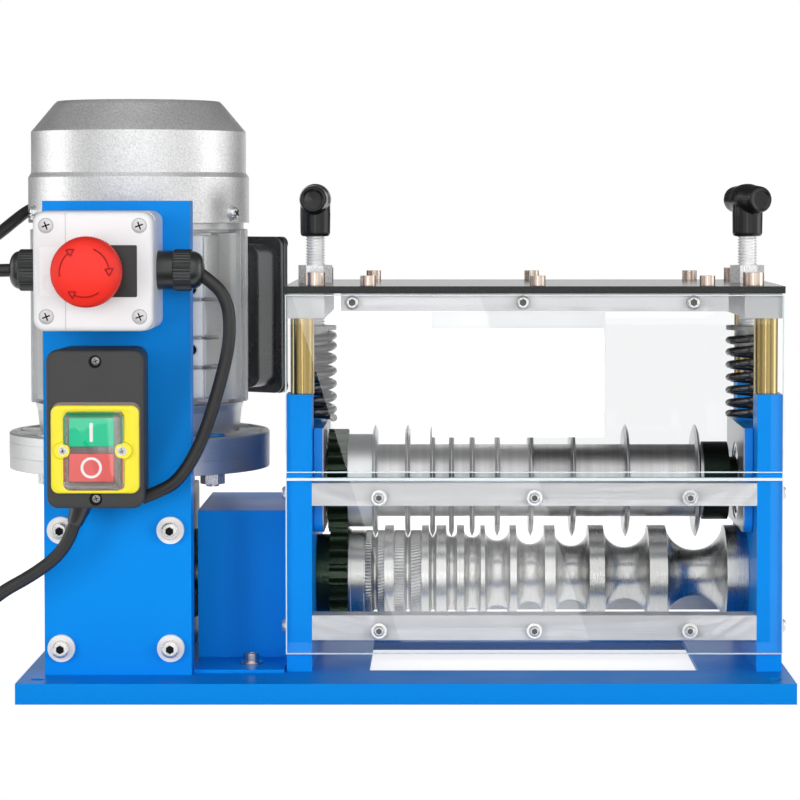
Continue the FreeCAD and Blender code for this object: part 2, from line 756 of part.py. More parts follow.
def bisect_arc(start, corner, end):
    """The arc from start to end whose end tangents meet at corner."""
    middle = (start + end) * 0.5
    half = (start - middle).Length
    rise = corner - middle
    if rise.Length < 1e-7:
        return Part.LineSegment(start, end)
    angle = math.atan2(rise.Length, half)
    return Part.Arc(start, middle + rise.normalize() * (half * math.tan(angle / 2)), end)


def biarc(start, start_way, end, end_way):
    """Two arcs that leave start along start_way and reach end along end_way."""
    chord = end - start
    ways = start_way + end_way
    spread = 2 * (1 - start_way.dot(end_way))
    if spread < 1e-9:
        reach = chord.dot(chord) / (2 * chord.dot(ways))
    else:
        along = chord.dot(ways)
        reach = (-along + math.sqrt(along * along + spread * chord.dot(chord))) / spread
    first = start + start_way * reach
    second = end - end_way * reach
    joint = (first + second) * 0.5
    return [bisect_arc(start, first, joint), bisect_arc(joint, second, end)]


def tube(curves, radius):
    """A round bar swept along tangent curves."""
    wire = Part.Wire([curve.toShape() for curve in curves])
    first = curves[0]
    start = first.StartPoint if hasattr(first, "StartPoint") else first.value(first.FirstParameter)
    way = first.tangent(first.FirstParameter)[0]
    profile = Part.Wire([Part.makeCircle(radius, start, way)])
    return wire.makePipeShell([profile], True, False)


def self_gap(curves, radius, steps=14):
    """The least gap between turns: points more than a turn's quarter apart along the wire."""
    points, run, previous = [], 0.0, None
    for curve in curves:
        low, high = curve.FirstParameter, curve.LastParameter
        for i in range(steps):
            point = curve.value(low + (high - low) * i / steps)
            if previous is not None:
                run += (point - previous).Length
            points.append((point, run))
            previous = point
    least = 1e9
    for i, (a, run_a) in enumerate(points):
        for b, run_b in points[i + 1:]:
            if run_b - run_a > 8 * radius:
                least = min(least, (a - b).Length)
    return least - 2 * radius


def spring_curves(x, y, bottom, height):
    radius = size.spring_radius.value
    wire = size.spring_wire.value
    dead = size.spring_dead_turns.value
    live = size.spring_live_turns.value
    rise = height - 2 * wire
    dead_pitch = size.spring_dead_pitch.value
    live_pitch = (rise - 2 * dead * dead_pitch) / live

    def height_at(turn):
        if turn < dead:
            return turn * dead_pitch
        if turn < dead + live:
            return dead * dead_pitch + (turn - dead) * live_pitch
        return dead * dead_pitch + live * live_pitch + (turn - dead - live) * dead_pitch

    def point(turn):
        angle = 2 * math.pi * turn
        return Vector(x + radius * math.cos(angle), y + radius * math.sin(angle),
                      bottom + wire + height_at(turn))

    def way(turn):
        angle = 2 * math.pi * turn
        step = 0.02
        ahead = min(turn + step, 2 * dead + live)
        behind = max(turn - step, 0)
        climb = (height_at(ahead) - height_at(behind)) / (ahead - behind) / (2 * math.pi)
        return Vector(-radius * math.sin(angle), radius * math.cos(angle), climb).normalize()

    quarters = int(round((2 * dead + live) * 4))
    curves = []
    for i in range(quarters):
        a, b = i / 4, (i + 1) / 4
        curves += biarc(point(a), way(a), point(b), way(b))
    return curves


def build_springs():
    for name, side in SIDES.items():
        x = along_frame(size.screw_reach * side).value
        y = size.roller_axis_y.value
        bottom = size.block_top.value
        curves = spring_curves(x, y, bottom, size.spring_top.value - bottom)
        label = name + "_spring"
        thing = doc.addObject("Part::Feature", label)
        thing.Shape = tube(curves, size.spring_wire.value)
        print("%s least gap to itself %.2f" % (label, self_gap(curves, size.spring_wire.value)))
        node(label, thing)


# Pressure screws

def build_pressure_screws():
    turns = {"left": -3, "right": 26}
    for name, side in SIDES.items():
        x = along_frame(size.screw_reach * side)
        y = size.roller_axis_y
        shank = rod(name + "_screw", size.screw_radius, (x, y, size.screw_tip),
                    size.knob_bottom - size.screw_tip + 12)
        node(name + "_screw", shank)
        spigot_bottom = size.screw_tip - 3.1
        seat = turned(name + "_seat", "XZ", "V_Axis", [
            (0, spigot_bottom), (size.seat_spigot_radius, spigot_bottom),
            (size.seat_spigot_radius, size.spring_top), (size.seat_radius, size.spring_top),
            (size.seat_radius, size.spring_top + size.seat_flange),
            (size.screw_radius + 0.08, size.spring_top + size.seat_flange),
            (size.screw_radius + 0.08, size.screw_tip - 0.1), (0, size.screw_tip - 0.1)],
            (x, y, 0))
        node(name + "_seat", seat)
        node(name + "_knob", build_knob(name, x, y, turns[name]))


def build_knob(name, x, y, turn):
    """A T knob: a barrel crossbar on a round stem."""
    centre_z = size.knob_top - size.knob_radius
    half = size.knob_bar_length / 2
    stem = taper(name + "_knob_stem", size.knob_radius, size.knob_radius - 0.3,
                 (x, y, size.knob_bottom), centre_z - size.knob_bottom)
    bar = turned(name + "_knob_bar", "XY", "V_Axis", [
        (0, -half), (size.knob_bar_end - 1.2, -half), (size.knob_bar_end, -half + 1.2),
        (size.knob_radius - 0.8, -half / 2), (size.knob_radius, 0),
        (size.knob_radius - 0.8, half / 2), (size.knob_bar_end, half - 1.2),
        (size.knob_bar_end - 1.2, half), (0, half)], (x, y, centre_z))
    bar.Placement.Rotation = Rotation(Vector(0, 0, 1), turn)
    hole = rod(name + "_knob_hole", size.screw_radius, (x, y, size.knob_bottom), 12)
    return cut(name + "_knob", joined(name + "_knob_blank", [stem, bar]), [hole])


# Rollers, blades and gears

def involute(angle):
    return math.tan(angle) - angle


def gear(name, low, width):
    """A spur gear of straight-sided flanks on the pitch circle, cut back by the tooth slack."""
    module = size.gear_module.value
    teeth = int(size.gear_teeth.value)
    pitch = module * teeth / 2
    base = pitch * math.cos(math.radians(20))
    half_pitch_angle = math.pi / 2 / teeth - size.gear_slack.value / 2 / pitch
    tip = pitch + module
    root = pitch - 1.25 * module

    def half_angle(radius):
        if radius <= base:
            return half_pitch_angle + involute(math.radians(20))
        pressure = math.acos(base / radius)
        return half_pitch_angle + involute(math.radians(20)) - involute(pressure)

    points = []
    for tooth in range(teeth):
        middle = math.pi / 2 + tooth * 2 * math.pi / teeth
        for radius, way in ((root, -1), (base, -1), (pitch, -1), (pitch + module / 2, -1), (tip, -1),
                            (tip, 1), (pitch + module / 2, 1), (pitch, 1), (base, 1), (root, 1)):
            angle = middle + way * half_angle(radius)
            points.append(Vector(0, radius * math.cos(angle), radius * math.sin(angle)))
    outline = Part.makePolygon(points + points[:1])
    blank = Part.Face(outline).extrude(Vector(measure(width).value, 0, 0))
    bore = Part.makeCylinder(size.shaft_radius.value, measure(width).value, Vector(0, 0, 0),
                             Vector(1, 0, 0))
    thing = doc.addObject("Part::Feature", name)
    thing.Shape = blank.cut(bore)
    return place(thing, low)


def build_lower_roller():
    shaft_low = size.tower_centre - size.gearbox_half_width - 1
    shaft_high = along_frame(size.frame_half - 0.5)
    inner = size.frame_half - size.upright_thick
    journal_left = along_frame(-(inner - 0.2))
    journal_right = along_frame(inner - 0.2)
    slim = size.shaft_radius
    shaft = turned("lower_shaft", "XY", "H_Axis", [
        (shaft_low, 0), (shaft_high, 0), (shaft_high, slim), (shaft_low, slim)],
        (0, size.roller_axis_y, size.lower_axis))
    node("lower_shaft", shaft)
    axis = (0, size.roller_axis_y, size.lower_axis)
    flange_start = measure(-36.45)
    outline = [(flange_start, slim), (flange_start, 27), (-35, 27), (-35, 26.2), (-27, 26.2),
               (-27, size.knurl_radius)]
    hollows = {}

    def vee(centre, rim):
        deep = size.vee_floor + 3.8
        outline.extend([(centre - size.vee_half, rim), (centre - size.vee_half, deep),
                        (centre - 0.45, size.vee_floor), (centre + 0.45, size.vee_floor),
                        (centre + size.vee_half, deep), (centre + size.vee_half, rim)])

    def rib(start, end, before, after):
        outline.extend([(start, before), (start, size.roller_radius),
                        (end, size.roller_radius), (end, after)])

    knurl = size.knurl_radius
    outline.extend([(size.blade_station_1 - size.vee_half, knurl),
                    (size.blade_station_1 - 0.45, size.vee_floor),
                    (size.blade_station_1 + 0.45, size.vee_floor),
                    (size.blade_station_1 + size.vee_half, knurl)])
    rib(measure(-14.4), measure(-9), knurl, knurl)
    outline.extend([(size.blade_station_2 - size.vee_half, knurl),
                    (size.blade_station_2 - 0.45, size.vee_floor),
                    (size.blade_station_2 + 0.45, size.vee_floor),
                    (size.blade_station_2 + size.vee_half, knurl)])
    outline.extend([(size.rib_start_1, knurl), (size.rib_start_1, size.roller_radius)])
    vee(size.blade_station_3, size.roller_radius)
    for number in range(2, 9):
        end = getattr(size, "rib_end_%d" % number)
        start = getattr(size, "rib_start_%d" % (number + 1))
        floor = getattr(size, "groove_floor_%d" % (number - 1))
        half = (start - end) / 2
        outline.append((end, size.roller_radius))
        if (size.roller_radius - floor).value > half.value + 0.3:
            outline.append((end, floor + half))
            hollows[len(outline) - 1] = floor + half
            outline.append((start, floor + half))
        else:
            depth = size.roller_radius - floor
            radius = (half * half + depth * depth) / (depth * 2)
            hollows[len(outline) - 1] = floor + radius
        outline.append((start, size.roller_radius))
    outline.extend([(journal_right, size.roller_radius), (journal_right, slim)])
    node("feed_roller", turned("feed_roller", "XY", "H_Axis", outline, axis, hollows))
    gear_low = measure(-47.7)
    hub = ring("lower_gear_hub", 23.8, slim, (journal_left, axis[1], axis[2]),
               gear_low - journal_left, "X")
    teeth = gear("lower_gear_teeth", (gear_low, axis[1], axis[2]),
                 flange_start - gear_low - 0.25)
    node("lower_gear", joined("lower_gear", [hub, teeth]))


def build_arbor():
    """The upper shaft with its blades, spacer sleeves, collars and gear."""
    y, z = size.roller_axis_y, upper_axis
    inner = size.block_inner
    slim = size.shaft_radius
    shaft_low = along_frame(-(size.frame_half - 2))
    shaft_high = along_frame(size.frame_half - 2)
    node("upper_shaft", rod("upper_shaft", slim, (shaft_low, y, z), shaft_high - shaft_low, "X"))
    stations = [getattr(size, "blade_station_%d" % n) for n in range(1, len(BLADE_STATIONS) + 1)]
    half = size.blade_thick / 2
    edge = measure(0.15)
    blades, sleeves = [], []
    for station in stations:
        rim = size.blade_radius - size.blade_bevel
        blades.append(turned("blade", "XY", "H_Axis", [
            (-half, slim), (-half, rim), (-edge, size.blade_radius), (edge, size.blade_radius),
            (half, rim), (half, slim)], (station, y, z)))
    for a, b in zip(stations, stations[1:]):
        start = a + half
        sleeves.append(ring("sleeve", size.sleeve_radius, slim, (start, y, z), b - half - start, "X"))
    gear_low = along_frame(-(inner - 1.2))
    gear_width = measure(12.2)
    collar_low = gear_low + gear_width
    sleeves.append(ring("left_collar", 28.4, slim, (collar_low, y, z),
                        stations[0] - half - collar_low, "X"))
    start = stations[-1] + half
    black_start, black_end = measure(179.5), measure(194.7)
    sleeves.append(ring("end_sleeve", size.sleeve_radius, slim, (start, y, z), black_start - start, "X"))
    collar = ring("right_collar_disc", 23.8, slim, (black_start, y, z), black_end - black_start, "X")
    hub_end = along_frame(inner + 0.4)
    hub = ring("right_collar_hub", 14.5, slim, (black_end, y, z), hub_end - black_end, "X")
    sleeves.append(joined("right_collar", [collar, hub]))
    spacer_low = along_frame(-(inner + 0.4))
    sleeves.append(ring("left_spacer", 14.5, slim, (spacer_low, y, z), gear_low - spacer_low, "X"))
    node("cutting_blades", together("cutting_blades", blades))
    node("spacer_sleeves", together("spacer_sleeves", sleeves))
    node("upper_gear", gear("upper_gear", (gear_low, y, z), gear_width))


# Drive tower

def panel_screw_places():
    return [(size.tower_centre - 1 + size.panel_screw_span_x / 2 * x,
             size.lower_axis + 1.3 + size.panel_screw_span_z / 2 * z)
            for x in (-1, 1) for z in (-1, 1)]


def build_panel():
    skin = size.panel_sheet
    front = size.panel_front
    face = plate("panel_face", "XZ",
                 rectangle((panel_left, size.base_height), (panel_right, size.panel_top)), skin,
                 (0, front + skin, 0), holes=[(place_xz, 3.3) for place_xz in panel_screw_places()])
    rear = front + size.panel_fold
    folds = [block("panel_fold_left", (panel_left, front + skin, size.base_height),
                   (panel_left + skin, rear, size.panel_top)),
             block("panel_fold_right", (panel_right - skin, front + skin, size.base_height),
                   (panel_right, rear, size.panel_top)),
             block("panel_fold_top", (panel_left + skin, front + skin, size.panel_top - skin),
                   (panel_right - skin, rear, size.panel_top))]
    node("tower_panel", joined("tower_panel", [face] + folds))
    members = []
    back = front + skin
    for x, z in panel_screw_places():
        members.append(ring("panel_spacer", 6.5, 3.1, (x, back, z), size.gearbox_front - back, "Y"))
        members.append(ring("panel_washer", size.washer_radius, 3.1,
                            (x, front - size.washer_thick, z), size.washer_thick, "Y"))
    node("panel_spacers", together("panel_spacers", members))


def build_cover():
    skin = size.cover_sheet
    left, right = size.cover_left, size.cover_right
    floor = size.base_height
    front = block("cover_front", (left, size.cover_front, floor),
                  (right, size.cover_front + skin, size.cover_top))
    top = block("cover_lid", (left, size.cover_front + skin, size.cover_top - skin),
                (right, size.cover_rear - skin, size.cover_top))
    rear = block("cover_back", (left, size.cover_rear - skin, floor),
                 (right, size.cover_rear, size.cover_top))
    foot = block("cover_foot", (left + 1.4, size.cover_foot_front, floor),
                 (right + 1.2, size.cover_front, floor + skin))
    hole = rod("cover_foot_hole", 3.3, (COVER_SCREW[0], COVER_SCREW[1], floor), skin)
    node("shaft_cover", cut("shaft_cover", joined("cover_blank", [front, top, rear, foot]), [hole]))


def build_gearbox():
    """A worm gearbox: wheel on the roller axis, worm on the motor axis behind it."""
    centre = size.tower_centre
    half = size.gearbox_half_width
    y, z = size.roller_axis_y, size.lower_axis
    wall = 5
    shell = [
        block("gearbox_box", (centre - half + 5, size.gearbox_front, size.base_height),
              (centre + half - 5, size.gearbox_rear, size.gearbox_top)),
        rod("gearbox_neck", 34, (centre, motor_axis_y, size.gearbox_top - 4),
            size.input_flange_bottom - size.gearbox_top + 4),
        rod("gearbox_hubs", 27, (centre - half, y, z), half * 2, "X"),
        rod("gearbox_input_flange", size.flange_radius,
            (centre, motor_axis_y, size.input_flange_bottom),
            size.input_flange_top - size.input_flange_bottom),
    ]
    hollow = [
        block("gearbox_hollow", (centre - half + 5 + wall, size.gearbox_front + 7, size.base_height + 7),
              (centre + half - 5 - wall, size.gearbox_rear - wall, size.gearbox_top - 5)),
        rod("gearbox_shaft_hole", 14.2, (centre - half, y, z), half * 2, "X"),
        rod("gearbox_worm_hole", 14, (centre, motor_axis_y, size.gearbox_top - 10),
            size.input_flange_top - size.gearbox_top + 10),
    ]
    blank = softened("gearbox_round", shell[0], 7, runs_along("X"))
    taps = [rod("gearbox_tap", 2.95, (x, size.gearbox_front, hole_z), 10, "Y")
            for x, hole_z in panel_screw_places()]
    taps += [rod("gearbox_foot_tap", 2.55, (x, foot_y, size.base_height), 14)
             for x, foot_y in FOOT_SCREWS[4:]]
    bolts = [rod("gearbox_bolt_hole", 4, (size.tower_centre + dx, motor_axis_y + dy,
                                         size.input_flange_bottom),
                 size.input_flange_top - size.input_flange_bottom) for dx, dy in flange_bolt_offsets()]
    solid = joined("gearbox_solid", [blank] + shell[1:])
    hollowed = cut("gearbox_hollowed", solid, [joined("gearbox_space", hollow)])
    node("gearbox_housing", cut("gearbox_housing", hollowed, taps + bolts))
    wheel = ring("worm_wheel_rim", size.wheel_radius, size.shaft_radius, (centre - 11, y, z), 22, "X")
    hub = ring("worm_wheel_hub", 14, size.shaft_radius, (centre - half + 0.5, y, z), half * 2 - 1, "X")
    node("worm_wheel", joined("worm_wheel", [wheel, hub]))


def flange_bolt_offsets():
    reach = size.flange_radius.value - 11
    return [(reach * math.cos(math.radians(a)), reach * math.sin(math.radians(a)))
            for a in (45, 135, 225, 315)]


FOOT_BLOCKS = [(170.5, 188.5), (190, 206.5), (208, 229.5), (231, 269)]
FOOT_HOLES = (200, 236.5)


def build_motor():
    x, y = size.tower_centre, motor_axis_y
    bottom, top = size.motor_shield_top, size.motor_body_top
    # finned body
    body = doc.addObject("PartDesign::Body", "motor_barrel")
    sketch = new_sketch(body, "motor_barrel_ring", "XY")
    draw_circle(sketch, (0, 0), size.motor_core_radius)
    draw_circle(sketch, (0, 0), size.stator_radius)
    pad = body.newObject("PartDesign::Pad", "motor_barrel_pad")
    pad.Profile = sketch
    bind(pad, "Length", top - bottom)
    fin = new_sketch(body, "motor_fin_outline", "XY")
    half = size.motor_fin_thick / 2
    draw_outline(fin, rectangle((size.motor_core_radius - 1.5, -half), (size.motor_fin_radius, half)))
    fin_pad = body.newObject("PartDesign::Pad", "motor_fin_pad")
    fin_pad.Profile = fin
    bind(fin_pad, "Length", top - bottom)
    repeated(body, fin_pad, "Z", size.motor_fins, size.motor_fin_arc)
    place(body, (x, y, bottom), Rotation(Vector(0, 0, 1), -15))
    # broad flat facets across the front, with a rail of foot blocks on each side
    facets = plate("motor_facets", "XY", [
        (-63.5, 12), (-63.5, -13), (-52.5, -38), (-49, -50), (49, -50), (52.5, -38), (63.5, -13),
        (63.5, 12)], top - bottom - 4, (x, y, bottom + 2))
    pads = []
    for side in (-1, 1):
        low_x = x + (22 if side > 0 else -46)
        high_x = low_x + 24
        blocks = [block("motor_foot_block", (low_x, y - 69, low), (high_x, y - 49, high))
                  for low, high in FOOT_BLOCKS]
        web = block("motor_foot_web", (low_x + 1.5, y - 66, FOOT_BLOCKS[0][0] + 2),
                    (high_x - 1.5, y - 49, FOOT_BLOCKS[-1][1] - 2))
        holes = [rod("motor_foot_hole", 3.2, (x + 38.5 * side, y - 69, z), 12, "Y")
                 for z in FOOT_HOLES]
        pads.append(cut("motor_foot", joined("motor_foot_blank", blocks + [web]), holes))
    saddle = block("terminal_saddle", (-34, size.stator_radius - 1, size.terminal_centre_z - 40),
                   (34, size.terminal_floor + 11.5, size.terminal_centre_z + 40))
    rest = place(together("terminal_rest", [saddle]), (x, y, 0), TERMINAL_TURN)
    neck = ring("motor_neck", size.neck_radius, size.stator_radius, (x, y, top),
                size.cowl_bottom - top + 3)
    core = rod("motor_space", size.stator_radius, (x, y, bottom - 1), top - bottom + 9)
    shell = joined("motor_shell", [body, facets, neck, rest] + pads)
    node("motor_housing", cut("motor_housing", shell, [core]))
    # lower end shield with its flange
    shield = turned("motor_flange_blank", "XZ", "V_Axis", [
        (size.motor_shaft_radius + 1, size.input_flange_top),
        (size.flange_radius, size.input_flange_top),
        (size.flange_radius, size.input_flange_top + 8.5),
        (size.flange_radius - 3, size.motor_flange_top - 3),
        (61.5, size.motor_flange_top - 3), (62.5, 150), (63.5, 160), (size.neck_radius, bottom),
        (size.stator_radius, bottom), (size.stator_radius, 158), (24, 150), (24, 138),
        (size.motor_shaft_radius + 1, 138)], (x, y, 0))
    bolts = [rod("flange_bolt_hole", 4, (x + dx, y + dy, size.input_flange_top), 20)
             for dx, dy in flange_bolt_offsets()]
    node("motor_flange", cut("motor_flange", shield, bolts))
    node("stator", ring("stator", size.stator_radius - 0.02, size.rotor_radius + 0.5,
                        (x, y, 176), 84))
    # rotor with the worm on its lower end
    slim = size.motor_shaft_radius
    node("motor_rotor", turned("motor_rotor", "XZ", "V_Axis", [
        (0, 26), (7, 26), (7, 36), (size.worm_radius, 36), (size.worm_radius, 88), (slim, 88),
        (slim, 180), (size.rotor_radius, 180), (size.rotor_radius, 256), (slim, 256), (slim, 334),
        (0, 334)], (x, y, 0)))
    build_fan(x, y)
    build_cowl(x, y)


TERMINAL_TURN = Rotation(Vector(0, 0, 1), size.terminal_turn.value - 90)


def build_fan(x, y):
    body = doc.addObject("PartDesign::Body", "cooling_fan")
    hub = new_sketch(body, "fan_hub_ring", "XY")
    draw_circle(hub, (0, 0), 15)
    draw_circle(hub, (0, 0), size.motor_shaft_radius)
    hub_pad = body.newObject("PartDesign::Pad", "fan_hub_pad")
    hub_pad.Profile = hub
    hub_pad.Length = 22
    blade = new_sketch(body, "fan_blade_outline", "XY")
    draw_outline(blade, rectangle((14, -1.2), (size.fan_radius, 1.2)))
    blade_pad = body.newObject("PartDesign::Pad", "fan_blade_pad")
    blade_pad.Profile = blade
    blade_pad.Length = 20
    repeated(body, blade_pad, "Z", size.fan_blades)
    node("cooling_fan", place(body, (x, y, 300)))


def build_cowl(x, y):
    wall = size.cowl_wall
    skirt, shoulder, lid = size.cowl_skirt_radius, size.cowl_shoulder_radius, size.cowl_top_radius
    shell = turned("fan_cover_shell", "XZ", "V_Axis", [
        (0, size.cowl_top), (lid - 2, size.cowl_top), (lid, size.cowl_top - 2),
        (shoulder, size.cowl_shoulder), (shoulder, size.cowl_step + 1.5), (skirt, size.cowl_step - 1.5),
        (skirt, size.cowl_bottom), (skirt - wall, size.cowl_bottom),
        (skirt - wall, size.cowl_step - 2.5), (shoulder - wall, size.cowl_step),
        (shoulder - wall, size.cowl_shoulder - 1), (lid - wall, size.cowl_top - 3.5),
        (0, size.cowl_top - wall)], (x, y, 0))
    slots = []
    for row, count in enumerate((6, 6), start=1):
        radius = 14 + 14 * row
        for i in range(count):
            angle = math.radians(60 * i + 30 * (row % 2))
            at = (x + radius * math.cos(angle), y + radius * math.sin(angle), size.cowl_top - 5)
            slots.append(rod("cowl_vent", 4.5, at, 8))
    slots.append(rod("cowl_vent", 7, (x, y, size.cowl_top - 5), 8))
    node("fan_cover", cut("fan_cover", shell, slots))


def build_terminal_box():
    """The capacitor and terminal box stands out of the motor's side, turned about its axis."""
    middle = size.terminal_centre_z
    half_w, half_h = size.terminal_half_width, size.terminal_half_height
    wide, tall = size.terminal_flange_half_width, size.terminal_flange_half_height
    wall = size.terminal_wall
    floor, rim = size.terminal_floor + 11.5, size.terminal_flange_start
    body = block("terminal_body", (-half_w, floor, middle - half_h), (half_w, rim, middle + half_h))
    body = softened("terminal_round", body, 6, runs_along("Y"))
    flange = block("terminal_flange", (-wide, rim, middle - tall),
                   (wide, size.terminal_flange_end, middle + tall))
    flange = softened("terminal_flange_round", flange, 5, runs_along("Y"))
    inside = block("terminal_hollow", (-half_w + wall, floor + wall, middle - half_h + wall),
                   (half_w - wall, size.terminal_flange_end, middle + half_h - wall))
    entry = rod("terminal_entry", 6, (-half_w, (floor + rim) / 2, middle), wall, "X")
    box = cut("terminal_box", joined("terminal_blank", [body, flange]), [inside, entry])
    lid = block("terminal_lid_blank", (-wide, size.terminal_flange_end, middle - tall),
                (wide, size.terminal_lid_end, middle + tall))
    lid = softened("terminal_lid_round", lid, 5, runs_along("Y"))
    heads = []
    for dx in (-1, 1):
        for dz in (-1, 1):
            at = ((wide - 4.5) * dx, size.terminal_lid_end - 1, middle + (tall - 4.5) * dz)
            heads.append(rod("terminal_screw_sink", 2.6, at, 1, "Y"))
    lid = cut("terminal_lid", lid, heads)
    for thing, label in ((box, "terminal_box"), (lid, "terminal_box_lid")):
        place(thing, (size.tower_centre, motor_axis_y, 0), TERMINAL_TURN)
        node(label, thing)


# Control boxes

def build_stop_box():
    half = size.stop_box_size / 2
    centre = size.box_centre
    bottom = size.stop_box_bottom
    top = bottom + size.stop_box_size
    middle = bottom + half
    seam = size.stop_box_front + size.stop_lid_depth
    wall = size.box_wall
    rear = block("stop_box_blank", (centre - half, seam, bottom), (centre + half, size.panel_front, top))
    rear = softened("stop_box_round", rear, size.stop_box_corner, runs_along("Y"))
    hollow = block("stop_box_hollow", (centre - half + wall, seam, bottom + wall),
                   (centre + half - wall, size.panel_front - wall, top - wall))
    entry = rod("stop_box_entry", 7.9, (centre - half, GLAND_Y, GLAND_Z), half * 2, "X")
    shell = cut("stop_box_shell", rear, [joined("stop_box_space", [hollow, entry])])
    posts = [ring("stop_box_post", 4, 1.45, (x, seam, z), size.panel_front - seam - 1, "Y")
             for x, z in stop_box_screws()]
    node("e_stop_box", joined("e_stop_box", [shell] + posts))
    lid = block("stop_lid_blank", (centre - half, size.stop_box_front, bottom),
                (centre + half, seam, top))
    lid = softened("stop_lid_round", lid, size.stop_box_corner, runs_along("Y"))
    inside = block("stop_lid_hollow", (centre - half + wall, size.stop_box_front + wall + 0.5,
                                       bottom + wall),
                   (centre + half - wall, seam, top - wall))
    tools = [joined("stop_lid_space", [inside, rod("stop_lid_hole", size.stem_radius + 0.5,
                                                  (centre - 1.5, size.stop_box_front, middle),
                                                  wall + 2, "Y")])]
    tools += [rod("stop_lid_screw_sink", 4.1, (x, size.stop_box_front, z), 0.6, "Y")
              for x, z in stop_box_screws()]
    tools += [rod("stop_lid_screw_hole", 1.5, (x, size.stop_box_front, z), size.stop_lid_depth, "Y")
              for x, z in stop_box_screws()]
    node("e_stop_lid", cut("e_stop_lid", lid, tools))
    x = centre - 1.5
    reach = size.mushroom_rear - size.mushroom_front
    front = size.mushroom_front
    head = turned("e_stop_button", "XY", "V_Axis", [
        (0, front), (10, front + 0.7), (16.5, front + 3), (size.mushroom_radius - 0.8, front + 6.2),
        (size.mushroom_radius, front + 7.5), (size.mushroom_radius, front + reach - 1.5),
        (size.mushroom_radius - 1.2, front + reach), (0, front + reach)], (x, 0, middle))
    node("e_stop_button", head)
    stem = turned("e_stop_stem", "XY", "V_Axis", [
        (0, size.mushroom_rear), (13.5, size.mushroom_rear), (13.5, size.mushroom_rear + 5.5),
        (size.stem_radius, size.mushroom_rear + 5.5), (size.stem_radius, -100), (6, -100), (6, -84),
        (0, -84)], (x, 0, middle))
    node("e_stop_stem", stem)


GLAND_Y = measure(-95)
GLAND_Z = measure(250)


def ball(name, radius, at):
    thing = doc.addObject("Part::Sphere", name)
    bind(thing, "Radius", radius)
    return place(thing, at)


def cord_hole(name, route):
    """A close hole along the first run of a cord."""
    start, ahead = Vector(*route[0]), Vector(*route[1])
    way = ahead - start
    hole = doc.addObject("Part::Cylinder", name)
    bind(hole, "Radius", size.cord_radius + 0.05)
    hole.Height = way.Length
    return place(hole, route[0], Rotation(Vector(0, 0, 1), way))


def build_glands():
    half = size.stop_box_size / 2
    wide = size.gland_radius
    members = []
    for side, route in ((1, LINK_ROUTE), (-1, MOTOR_ROUTE)):
        edge = size.box_centre + half * side
        long = size.gland_length if side > 0 else size.gland_length_left
        tip = edge + long * side
        neck_end = edge - 4 * side
        low = edge if side > 0 else tip
        nut_low = edge if side > 0 else edge - long * 0.3
        neck_low = neck_end if side > 0 else edge
        parts = [
            prism("gland_nut", wide * 1.8, (nut_low, GLAND_Y, GLAND_Z), long * 0.3, "X"),
            rod("gland_barrel", wide * 0.96, (low, GLAND_Y, GLAND_Z), long, "X"),
            rod("gland_neck", 7.8, (neck_low, GLAND_Y, GLAND_Z), 4, "X"),
            ball("gland_dome", size.gland_nose, (tip, GLAND_Y, GLAND_Z)),
        ]
        members.append(cut("cable_gland", joined("gland_blank", parts), [cord_hole("gland_hole", route)]))
    members.append(taper("mains_boot", 6.6, 4.6, BOOT_START, BOOT_LENGTH, rotation=BOOT_TURN))
    reach = (size.terminal_floor + 11.5 + size.terminal_flange_start) / 2
    gland = taper("terminal_gland_cone", 6, 9.5, (-size.terminal_half_width - 14, reach,
                                                  size.terminal_centre_z), 14, "X")
    members.append(place(together("terminal_gland", [gland]),
                         (size.tower_centre, motor_axis_y, 0), TERMINAL_TURN))
    node("cable_glands", together("cable_glands", members))


BOOT_START = (-186.4, -92, 116.5)
BOOT_LENGTH = 14
BOOT_TURN = Rotation(Vector(0, 1, 0), 180 + 20)


